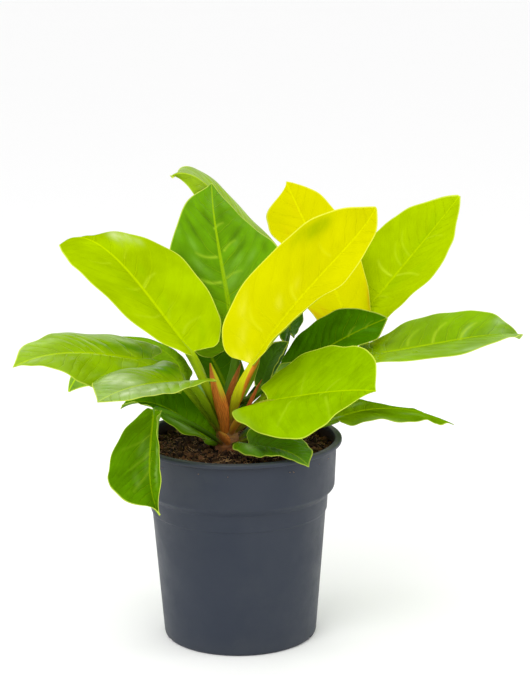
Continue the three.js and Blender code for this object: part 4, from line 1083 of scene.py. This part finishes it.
def blade_mesh(name, leaf, spine, settings):
    """A closed blade with its own numbers on its points.

    along and across are the place on the blade, rib and rim the distance from midrib and
    margin, side is 1 above and -1 below, lift is the way up, lane counts side veins, puff
    swells between them, and painted_sheen (painted highlights), shade (painted shade) and nerve
    are the marks in the leaf's own row.
    """
    half = np.concatenate([[0, 0.014, 0.03, 0.05, 0.075, 0.105], np.linspace(0.145, 1, 30)])
    vs = np.concatenate([-half[:0:-1], half])
    us = np.concatenate([np.linspace(0, 0.1, 12)[:-1], np.linspace(0.1, 0.94, 122)[:-1],
                         np.linspace(0.94, 1, 11)])
    u, v = us[:, None], vs[None, :]
    middle, width = blade_surface(leaf, spine, us, vs)
    normal = unit(np.cross(np.gradient(middle, us, axis=0), np.gradient(middle, vs, axis=1)))
    steady = np.searchsorted(us, 0.965)
    normal[steady:] = normal[steady - 1]
    rib = np.abs(width)
    edge = edge_of_half(us, leaf["lobe"])[:, 1:]
    foot = np.linalg.norm(middle - middle[:1], axis=-1) + 30 * (np.abs(v) < 0.12)
    rim = np.minimum((1 - np.abs(v)) * edge * leaf["half"], foot)
    rim = np.minimum(rim, (1 - u) * leaf["length"] * 0.6 + 0.2)
    thin = settings.blade / MM / 2 + (settings.rim - settings.blade) / MM / 2 * v ** 2
    thin = thin * np.clip(rim / 1.2, 0.35, 1) ** 0.5
    depth = settings.midrib / MM * (1 - u) ** 0.8
    broad = 2.2 + 3.4 * (1 - u) ** 1.2
    ridge = depth * np.exp(-(rib / broad) ** 2.4)
    groove = 0.9 * (1 - u) ** 0.9 * np.exp(-(rib / 1.7) ** 2)
    upper = middle + normal * (thin - groove)[..., None]
    lower = middle - normal * (thin + ridge)[..., None]
    rows, columns = len(us), len(vs)
    count = rows * columns
    points = np.concatenate([upper.reshape(-1, 3), lower.reshape(-1, 3)])
    faces = grid_faces(rows, columns) + grid_faces(rows, columns, count, flip=True)
    for i in range(rows - 1):
        a, b = i * columns, (i + 1) * columns
        faces.append((a, a + count, b + count, b))
        a, b = a + columns - 1, b + columns - 1
        faces.append((a, b, b + count, a + count))
    top = (rows - 1) * columns
    for j in range(columns - 1):
        faces.append((j, j + 1, j + 1 + count, j + count))
        faces.append((top + j, top + j + count, top + j + 1 + count, top + j + 1))

    def twice(field):
        """A field over the blade's grid, for its upper and its lower side."""
        return np.concatenate([np.broadcast_to(field, (rows, columns)).ravel()] * 2)

    seed = seed_of(leaf["name"])
    drift = (0.62 * rib + 0.3 * rib ** 2 / leaf["half"]) / leaf["length"]
    wander = 0.016 * np.sin(11 * u + 1.7 * seed) + 0.012 * np.sin(17 * u + 3 * v + seed)
    wander = wander + 0.002 * np.sin(19 * np.abs(v) + 23 * u + 2 * seed)
    puff = 0.75 + 0.3 * np.sin(9 * u + 5 * v + seed) + 0.3 * np.sin(21 * u - 7 * v + 2.3 * seed)
    numbers = {
        "lane": twice(u - drift + wander),
        "puff": twice(np.clip(puff, 0.15, 1.4)),
        "painted_sheen": twice(patches(leaf.get("painted_sheen", ()), us, vs, drift)),
        "shade": twice(patches(leaf.get("shade", ()), us, vs, drift)),
        "nerve": twice(nerves(leaf.get("nerve", ()), leaf, us, vs)),
        "along": twice(u),
        "across": twice(v),
        "rib": twice(rib * MM),
        "rim": twice(rim * MM),
        "side": np.concatenate([np.ones(count), -np.ones(count)]),
        "lift": np.concatenate([normal.reshape(-1, 3)] * 2),
    }
    return mesh_from(name, points, faces, numbers)


def stalk_path(name, leaf, spine):
    """The stalk's course from inside the stem to the blade, as a line with its own numbers."""
    foot, outward = foot_on_stem(leaf["foot"], 3)
    base, along, left, up = (part[0] for part in spine.at(np.array([0.0])))
    span = np.linalg.norm(foot - base)
    near, far = leaf.get("reach", (0.35, 0.32))
    end = base - up * 1.6
    share = np.linspace(0, 1, 34)
    points = bezier((foot, foot + leaning(outward, leaf["lean"]) * span * near,
                     end - along * span * far, end), share)
    tangent = np.array([-outward[1], outward[0], 0])
    if tangent @ left < 0:
        tangent = -tangent
    turned = (share * share * (3 - 2 * share))[:, None]
    sides = tangent * (1 - turned) + left * turned
    radii = np.interp(share, (0, 0.4, 1), (3.6, 5.9, 5.0)) * leaf["stout"]
    # the stalk runs out in a taper under the blade's midrib
    extra = np.linspace(0.012, 0.12, 8)
    more, _, more_left, more_up = spine.at(extra)
    taper = np.interp(extra, (0, 0.05, 0.1, 0.12), (5.0, 2.8, 1.2, 0.4)) * leaf["stout"]
    points = np.vstack([points, more - more_up * np.interp(extra, (0, 0.05), (1.6, 1.4))[:, None]])
    ahead = unit(np.gradient(points, axis=0))
    sides = np.vstack([sides, more_left])
    sides = unit(sides - ahead * (sides * ahead).sum(-1, keepdims=True))
    return line_from(name, points, {
        "girth": np.concatenate([radii, taper]) * MM,
        "stalk": np.concatenate([share, 1 + extra]), "abeam": sides})


def leaf_tree():
    """Raises the blade between its side veins and sweeps the stalk along its path."""
    tree, given = new_tree("leaf_growth", {
        "Side veins": 12.0, "Vein relief": 1.1 * MM, "Stalk path": "Object", "Stalk sides": 20,
        "Stalk flatness": 0.78, "Stalk groove": 0.22, "Blade material": "Material",
        "Stalk material": "Material"})
    lane = tree.mul(tree.read("lane"), given["Side veins"])
    hand = tree.mul(tree.calc("GREATER_THAN", tree.read("across"), 0.0), 0.5)
    wave = tree.calc("SINE", tree.mul(tree.add(lane, hand), math.pi))
    swell = tree.calc("POWER", tree.calc("ABSOLUTE", wave), 0.7)
    height = tree.mul(swell, given["Vein relief"], tree.ease(tree.read("rib"), 0.002, 0.014),
                      tree.ease(tree.read("rim"), 0.0, 0.016), tree.read("puff"))
    blade = tree.moved(given["Geometry"],
                       Offset=tree.vector("SCALE", tree.read("lift", "FLOAT_VECTOR"), height))
    blade = tree.dressed(blade, given["Blade material"])

    path = tree.node("GeometryNodeObjectInfo", {"Object": given["Stalk path"]},
                     transform_space="ORIGINAL").outputs["Geometry"]
    path = tree.out("GeometryNodeMeshToCurve", {"Mesh": path})
    path = tree.out("GeometryNodeSetCurveNormal",
                    {"Curve": path, "Normal": tree.read("abeam", "FLOAT_VECTOR")}, mode="FREE")
    section = tree.out("GeometryNodeCurvePrimitiveCircle",
                       {"Resolution": given["Stalk sides"], "Radius": 1.0})
    spot = tree.parts(tree.place())
    section = tree.store(section, "girdle_x", spot["X"])
    section = tree.store(section, "girdle_y", spot["Y"])
    dip = tree.mul(given["Stalk groove"],
                   tree.calc("POWER", tree.calc("MAXIMUM", spot["Y"], 0.0), 10.0))
    shaped = tree.point(spot["X"], tree.calc(
        "SUBTRACT", tree.mul(spot["Y"], given["Stalk flatness"]), dip))
    stalk = tree.out("GeometryNodeCurveToMesh", {
        "Curve": path, "Profile Curve": tree.moved(section, Position=shaped),
        "Scale": tree.read("girth"), "Fill Caps": True})
    stalk = tree.out("GeometryNodeSetShadeSmooth", {"Geometry": stalk})
    stalk = tree.dressed(stalk, given["Stalk material"])
    return tree.close(tree.realized(tree.gather("GeometryNodeJoinGeometry", (stalk, blade))))


def blade_finish(name, leaf, veins):
    """Skin of a blade: its midrib, side veins, pale margin, paler underside, and soft spots and
    streaks of painted shade and painted sheen.
    """
    tint, vivid = leaf["tint"], leaf.get("vivid", 1.0)
    pale = leaf.get("pale", shifted(tint, 1.1, (0.7, 0.8, 0.0), 0.25))
    dark = shifted(tint, 1 - 0.26 * min(vivid, 1.3))
    edge = shifted(tint, 1.1, (0.8, 0.85, 0.12), 0.55)
    under = leaf.get("under", shifted(tint, 0.95, (0.4, 0.55, 0.12), 0.3))
    painted_sheen = leaf.get("painted_sheen_tint", shifted(tint, 1.25, (0.62, 0.72, 0.42), 0.42))
    bright = shifted(tint, 1.25, (0.72, 0.82, 0.06), 0.35)
    gloom = leaf.get("shade_tint", shifted(tint, 0.3))
    foot_glow = 0.1 if tint[1] < 0.3 else 0.45
    seed = seed_of(name) % 17

    def lane_at(tree, count):
        hand = tree.mul(tree.calc("GREATER_THAN", tree.own("across"), 0.0), 0.5)
        return tree.add(tree.mul(tree.own("lane"), float(count)), hand)

    def lanes(tree, count, sharp, offset=0.0):
        """1 on each of count side veins, falling off within a share of their spacing."""
        lane = tree.add(lane_at(tree, count), offset)
        return tree.ease(tree.calc("PINGPONG", lane, 0.5), 0.0, sharp, 1.0, 0.0)

    def streaks(tree, across, detail=3.0):
        """Noise drawn out along the side veins."""
        where = tree.point(lane_at(tree, veins), tree.mul(tree.own("across"), across),
                           float(seed))
        return tree.mottle(1.0, detail, 0.6, where=where)

    def colour(tree):
        along, rib, rim = tree.own("along"), tree.own("rib"), tree.own("rim")
        base = tree.blend(tree.ease(tree.mottle(16 + seed * 0.3, 3, 0.6), 0.3, 0.7), dark, tint)
        base = tree.blend(tree.ease(along, 0.0, 0.55, foot_glow, 0.0), base, pale)
        # painted shade and painted highlight in streaks along the side veins, as on the quilted
        # folds
        drawn = tree.ease(streaks(tree, 1.6), 0.5, 0.75, 0.0, 0.45 * vivid)
        base = tree.blend(drawn, base, shifted(tint, 0.68))
        drawn = tree.ease(streaks(tree, 2.3), 0.5, 0.28, 0.0, 0.3 * vivid)
        base = tree.blend(drawn, base, shifted(tint, 1.18))

        # side veins: painted shade in a dark line beside each, as in the crease there, then the
        # pale main and fine ones
        fade = tree.mul(tree.ease(rib, 0.0, 0.034, 1.0, 0.3), tree.ease(rim, 0.0, 0.01, 0.2),
                        tree.ease(streaks(tree, 1.1, 1.0), 0.36, 0.6, 0.25))
        vein_crease_shade = tree.mul(lanes(tree, veins, 0.17, 0.07), fade, 0.32 * vivid)
        base = tree.blend(vein_crease_shade, base, shifted(tint, 0.55))
        veined = tree.calc("MAXIMUM", tree.mul(lanes(tree, veins, 0.06), fade, 0.55),
                           tree.mul(lanes(tree, veins * 5, 0.4), fade, 0.06))
        base = tree.blend(veined, base, pale)

        # the soft spots of painted shade and painted sheen, and the single veins, in the leaf's
        # own row
        # painted shade: darker spots where the blade lies in shade
        ragged = tree.ease(streaks(tree, 3.0), 0.3, 0.62, 0.7)
        base = tree.blend(tree.mul(tree.own("shade"), ragged), base, gloom)
        # painted sheen: paler spots that stand in for the blade's highlights
        ragged = tree.ease(streaks(tree, 2.2), 0.34, 0.56, 0.35)
        base = tree.blend(tree.mul(tree.own("painted_sheen"), ragged), base, painted_sheen)
        lit = tree.calc("MULTIPLY", tree.own("nerve"), 1.1, clamp=True)
        base = tree.blend(lit, base, bright)

        broad = tree.ease(along, 0.0, 1.0, 0.0034 * leaf.get("rib", 1.0), 0.0012)
        middle = tree.ease(tree.calc("DIVIDE", rib, broad), 0.35, 1.0, 0.85, 0.0)
        line = tree.ease(rim, 0.0004, 0.0015, 0.9, 0.0)
        base = tree.blend(line, tree.blend(middle, base, pale), edge)
        below = tree.blend(veined, under, shifted(under, 1.15, (0.8, 0.85, 0.4), 0.35))
        below = tree.blend(middle, below, shifted(pale, 1.0, (1, 1, 0.5), 0.2))
        below = tree.blend(line, below, edge)
        return tree.blend(tree.ease(tree.own("side"), 0.3, -0.3), base, below)

    def roughness(tree):
        base = tree.ease(tree.mottle(60, 4, 0.6), 0.3, 0.7, 0.26, 0.4)
        return tree.add(base, tree.ease(tree.own("side"), 0.3, -0.3, 0.0, 0.18))

    def height(tree):
        lines = tree.add(tree.mul(lanes(tree, veins, 0.08), -0.9),
                         tree.mul(lanes(tree, veins * 5, 0.5), -0.12))
        lines = tree.mul(lines, tree.ease(tree.own("rib"), 0.0, 0.05, 1.0, 0.3))
        cells = tree.mul(tree.mottle(900, 2, 0.5), 0.12)
        return tree.add(tree.add(lines, cells), tree.mul(streaks(tree, 2.0, 2.0), 1.8))

    return finish(name + "_blade", colour, roughness, height, 0.0004,
                  Specular_IOR_Level=leaf.get("gloss", 0.05))


def stalk_finish(name, leaf):
    tint = leaf["tint"]
    foot, top, blush = STALK_COLOURS.get(name, (
        shifted(tint, 0.48, (0.3, 0.2, 0.02), 0.1), shifted(tint, 1.02, (0.6, 0.7, 0.05), 0.1),
        shifted(tint, 0.7)))

    def colour(tree):
        share, x, y = tree.own("stalk"), tree.own("girdle_x"), tree.own("girdle_y")
        # darker toward the foot: painted shade among the crowded stalks of the crown
        base = tree.blend(tree.ease(share, 0.05, 0.85), foot, top)
        lines = tree.point(x, y, tree.mul(share, 0.8))
        streak = tree.ease(tree.mottle(5.0, 4, 0.7, where=lines), 0.45, 0.7)
        base = tree.blend(tree.mul(streak, 0.55), base, shifted(top, 0.55))
        stripe = tree.mul(tree.ease(x, -0.45, -0.75, 0.0, 0.95),
                          tree.ease(tree.mottle(40, 2, 0.5), 0.2, 0.5, 0.6))
        base = tree.blend(stripe, base, blush)
        return tree.blend(tree.ease(share, 0.16, 0.0, 0.0, 0.7), base, (0.3, 0.12, 0.03))

    def height(tree):
        lines = tree.point(tree.own("girdle_x"), tree.own("girdle_y"))
        return tree.add(tree.mul(tree.mottle(9, 3, 0.6, where=lines), 0.7),
                        tree.mul(tree.mottle(500, 2, 0.5), 0.2))

    return finish(name + "_stalk", colour,
                  lambda t: t.ease(t.mottle(80, 3, 0.6), 0.3, 0.7, 0.3, 0.45), height, 0.0004,
                  Specular_IOR_Level=0.08)


# ---------------------------------------------------------------- sheaths
def sheath_mesh(name, sheath, thickness):
    foot, outward = foot_on_stem(sheath["foot"], 1)
    tip = np.array(sheath["tip"], float)
    span = np.linalg.norm(tip - foot)
    shares = np.linspace(0, 1, 46)
    course = bezier((foot, foot + leaning(outward, sheath["lean"]) * span * 0.35,
                     tip * 0.65 + foot * 0.35, tip), shares)
    ahead = unit(np.gradient(course, axis=0))
    out = unit(outward - ahead * (ahead @ outward)[:, None])
    side = np.cross(ahead, out)
    half = sheath["half"] * (0.55 + 0.45 * np.minimum(1, shares * 3)) * (1 - 0.9 * shares ** 3)
    radius = half / math.sin(SHEATH_ARC)
    bends = np.linspace(-1, 1, 25)
    depth = np.minimum(thickness / MM, radius * 0.5)
    ribs = 0.16 * np.cos(bends * 26)

    def layer(deep):
        r = radius[:, None] - deep[:, None] * (1 - 0.55 * bends ** 2)[None, :] + ribs
        angle = bends * SHEATH_ARC
        return (course[:, None, :] + side[:, None, :] * (r * np.sin(angle))[..., None]
                + out[:, None, :] * (r * np.cos(angle) - radius[:, None] * 0.8)[..., None])

    ring = np.concatenate([layer(depth * 0), layer(depth)[:, ::-1]], 1)
    rows, columns = len(shares), len(bends)
    width = 2 * columns
    last = (rows - 1) * width
    faces = grid_faces(rows, width, wrap=True)
    faces += [tuple(range(width)), tuple(range(last + width - 1, last - 1, -1))]
    mesh = mesh_from(name, ring.reshape(-1, 3), faces, {
        "along": np.repeat(shares, width),
        "bend": np.tile(np.concatenate([bends, bends[::-1]]), rows),
        "inside": np.tile(np.repeat([0, 1], columns), rows)})
    face_outwards(mesh, split=True)
    return mesh


def sheath_finish(name, sheath, settings):
    tint = sheath["tint"]
    freshness = 1.0 if name == "sheath_1" else 0.2  # how green its lit edge still is

    def fibred(tree, scale, drawn):
        """Noise drawn out along the sheath."""
        where = tree.point(tree.own("bend"), tree.mul(tree.own("along"), drawn))
        return tree.mottle(scale, 4, 0.7, where=where)

    def colour(tree):
        along, bend, inside = tree.own("along"), tree.own("bend"), tree.own("inside")
        # fibre streaks, with painted highlights on their light side
        streak = tree.ease(fibred(tree, 9, 0.7), 0.35, 0.7)
        base = tree.blend(streak, shifted(tint, 0.62),
                          shifted(tint, 1.3, (0.95, 0.42, 0.08), 0.22))
        tip = tree.ease(along, 0.55, 1.0, 0.0, 0.5)
        base = tree.blend(tip, base, shifted(tint, 0.9, (0.6, 0.3, 0.1), 0.3))
        lit = tree.calc("MAXIMUM",
                        tree.mul(tree.ease(bend, 0.1, 0.45), tree.ease(along, 0.4, 0.7)),
                        tree.mul(inside, tree.ease(along, 0.3, 0.8, 0.2, 0.9)))
        return tree.blend(tree.mul(lit, freshness), base, tuple(settings.lit_edge))

    return finish(name + "_paper", colour,
                  lambda t: t.ease(t.mottle(120, 3, 0.6), 0.3, 0.7, 0.45, 0.65),
                  lambda t: fibred(t, 14, 0.3), 0.0008, Specular_IOR_Level=0.12)


# ---------------------------------------------------------------- operators
class PHILODENDRON_OT_pot(Operator):
    """Turn the nursery pot with its band, collar, lip, drain holes and notches"""

    bl_idname = "philodendron.pot"
    bl_label = "Build pot"

    def execute(self, context):
        settings = context.scene.philodendron_pot
        line = [(r, 0, z) for r, z in pot_profile(settings.wall / MM)]
        mesh = grown(line_from("pot_profile", line), turning_tree(),
                     {"Facets": settings.facets, "Material": pot_plastic(settings)}, "pot_shell")
        if not len(mesh.polygons):
            raise RuntimeError("the pot came out empty")
        mesh.shade_smooth()
        face_outwards(mesh, crisp=32)
        place_piece("pot_shell", mesh, "pot_plastic", "pot")
        return {"FINISHED"}


class PHILODENDRON_OT_soil(Operator):
    """Fill the pot with potting mix and scatter crumbs and fibres over it"""

    bl_idname = "philodendron.soil"
    bl_label = "Fill soil"

    def execute(self, context):
        settings = context.scene.philodendron_soil
        peat, crumb, fibre = soil_finishes(settings)
        bed = soil_bed()
        litter = grown(bed, litter_tree(), {
            "Crumbs per area": settings.crumbs, "Crumb size": settings.crumb_size,
            "Fibres per area": settings.fibres, "Fibre length": settings.fibre_length,
            "Seed": settings.seed, "Crumb material": crumb, "Fibre material": fibre},
            "soil_litter")
        bed.materials.append(peat)
        place_piece("soil_fill", bed, "soil", "soil")
        place_piece("soil_crumbs_and_fibres", litter, "soil")
        return {"FINISHED"}


class PHILODENDRON_OT_stem(Operator):
    """Grow the short stem with its ring scars"""

    bl_idname = "philodendron.stem"
    bl_label = "Grow stem"

    def execute(self, context):
        mesh = stem_mesh()
        mesh.materials.append(stem_bark())
        place_piece("stem_skin", mesh, "stem", "stem")
        return {"FINISHED"}


class PHILODENDRON_OT_leaves(Operator):
    """Grow every leaf: blade with midrib and side veins, and its stalk"""

    bl_idname = "philodendron.leaves"
    bl_label = "Grow leaves"

    def execute(self, context):
        settings = context.scene.philodendron_leaves
        tree = leaf_tree()
        for name, leaf in LEAVES.items():
            leaf["name"] = name
            spine = Spine(leaf)
            path = bpy.data.objects.new(name + "_path", stalk_path(name + "_path", leaf, spine))
            context.scene.collection.objects.link(path)
            mesh = grown(blade_mesh(name + "_blade", leaf, spine, settings), tree, {
                "Side veins": float(settings.veins), "Vein relief": settings.vein_height,
                "Stalk path": path, "Stalk sides": settings.stalk_sides,
                "Blade material": blade_finish(name, leaf, settings.veins),
                "Stalk material": stalk_finish(name, leaf)}, name + "_grown")
            bpy.data.objects.remove(path)
            place_piece(name + "_grown", mesh, leaf["slot"], name)
        return {"FINISHED"}


class PHILODENDRON_OT_sheaths(Operator):
    """Grow the papery sheaths round the crown"""

    bl_idname = "philodendron.sheaths"
    bl_label = "Grow sheaths"

    def execute(self, context):
        settings = context.scene.philodendron_sheaths
        for name, sheath in SHEATHS.items():
            mesh = sheath_mesh(name + "_paper", sheath, settings.thickness)
            mesh.materials.append(sheath_finish(name, sheath, settings))
            place_piece(name + "_paper", mesh, "sheath", name)
        return {"FINISHED"}


class PHILODENDRON_OT_stage(Operator):
    """Set the pale floor, the soft lights and the camera"""

    bl_idname = "philodendron.stage"
    bl_label = "Set stage"

    def execute(self, context):
        settings = context.scene.philodendron_stage
        scene = context.scene
        corners = [(x * FLOOR_REACH, y * FLOOR_REACH, 0)
                   for x, y in ((-1, -1), (1, -1), (1, 1), (-1, 1))]
        floor_mesh = bpy.data.meshes.new("floor")
        floor_mesh.from_pydata(corners, [], [(0, 1, 2, 3)])
        tint = tuple(settings.floor)
        floor_mesh.materials.append(finish(
            "floor_paper",
            lambda t: t.blend(t.mottle(3, 2, 0.5), tint, shifted(tint, 0.995)),
            Roughness=0.9, Specular_IOR_Level=0.1))
        floor = bpy.data.objects.new("floor", floor_mesh)
        scene.collection.objects.link(floor)

        world = bpy.data.worlds.new("white_room")
        world.use_nodes = True
        back = world.node_tree.nodes["Background"]
        back.inputs["Color"].default_value = (1, 1, 1, 1)
        back.inputs["Strength"].default_value = settings.sky
        scene.world = world

        lights = (
            ("key", (-0.7, -1.5, 1.9), 1.3, 1.0, settings.key, (0, 0, 0.3)),
            ("left", (-1.7, -0.3, 0.7), 0.7, 1.4, settings.sides, (0, 0, 0.25)),
            ("right", (1.7, -0.3, 0.8), 0.7, 1.4, settings.sides, (0, 0, 0.25)),
            ("behind", (0.2, 1.6, 1.5), 1.6, 0.8, settings.sides, (0, 0, 0.3)),
        )
        for name, place, wide, tall, power, aim in lights:
            lamp = bpy.data.lights.new(name, "AREA")
            lamp.shape = "RECTANGLE"
            lamp.size, lamp.size_y, lamp.energy = wide, tall, power
            holder = bpy.data.objects.new(name, lamp)
            holder.location = place
            way = Vector(aim) - Vector(place)
            holder.rotation_euler = way.to_track_quat("-Z", "Y").to_euler()
            scene.collection.objects.link(holder)

        back_way = Vector((0, -math.cos(CAMERA_TILT), math.sin(CAMERA_TILT)))
        right = Vector((1, 0, 0))
        up = right.cross(-back_way)
        turned_right = right * math.cos(CAMERA_ROLL) + up * math.sin(CAMERA_ROLL)
        turned_up = up * math.cos(CAMERA_ROLL) - right * math.sin(CAMERA_ROLL)
        lens = bpy.data.cameras.new("camera")
        lens.lens, lens.sensor_width = settings.lens, 36
        lens.dof.use_dof = False
        lens.clip_start, lens.clip_end = 0.05, 120
        camera = bpy.data.objects.new("camera", lens)
        turn = Matrix((turned_right, turned_up, back_way)).transposed().to_4x4()
        camera.matrix_world = Matrix.Translation(
            Vector(CAMERA_AIM) + back_way * CAMERA_AWAY) @ turn
        scene.collection.objects.link(camera)
        scene.camera = camera
        scene.view_settings.view_transform = "Standard"
        return {"FINISHED"}


class PHILODENDRON_PT_panel(Panel):
    """The plant's pieces and their settings"""

    bl_label = "Potted philodendron"
    bl_idname = "PHILODENDRON_PT_panel"
    bl_space_type = "VIEW_3D"
    bl_region_type = "UI"
    bl_category = "Philodendron"

    def draw(self, context):
        for operator, group in STEPS:
            box = self.layout.box()
            box.operator(operator)
            if group:
                settings = getattr(context.scene, group)
                for key in settings.__annotations__:
                    box.prop(settings, key)


STEPS = (
    ("philodendron.pot", "philodendron_pot"),
    ("philodendron.soil", "philodendron_soil"),
    ("philodendron.stem", None),
    ("philodendron.leaves", "philodendron_leaves"),
    ("philodendron.sheaths", "philodendron_sheaths"),
    ("philodendron.stage", "philodendron_stage"),
)
GROUPS = {
    "philodendron_pot": PotSettings,
    "philodendron_soil": SoilSettings,
    "philodendron_leaves": LeafSettings,
    "philodendron_sheaths": SheathSettings,
    "philodendron_stage": StageSettings,
}
CLASSES = (
    *GROUPS.values(),
    PHILODENDRON_OT_pot,
    PHILODENDRON_OT_soil,
    PHILODENDRON_OT_stem,
    PHILODENDRON_OT_leaves,
    PHILODENDRON_OT_sheaths,
    PHILODENDRON_OT_stage,
    PHILODENDRON_PT_panel,
)


def register():
    for kind in CLASSES:
        bpy.utils.register_class(kind)
    for name, kind in GROUPS.items():
        setattr(bpy.types.Scene, name, PointerProperty(type=kind))


def unregister():
    for name in GROUPS:
        delattr(bpy.types.Scene, name)
    for kind in reversed(CLASSES):
        bpy.utils.unregister_class(kind)


def main():
    register()
    bpy.ops.philodendron.pot()
    bpy.ops.philodendron.soil()
    bpy.ops.philodendron.stem()
    bpy.ops.philodendron.leaves()
    bpy.ops.philodendron.sheaths()
    bpy.ops.philodendron.stage()


if __name__ == "__main__":
    main()
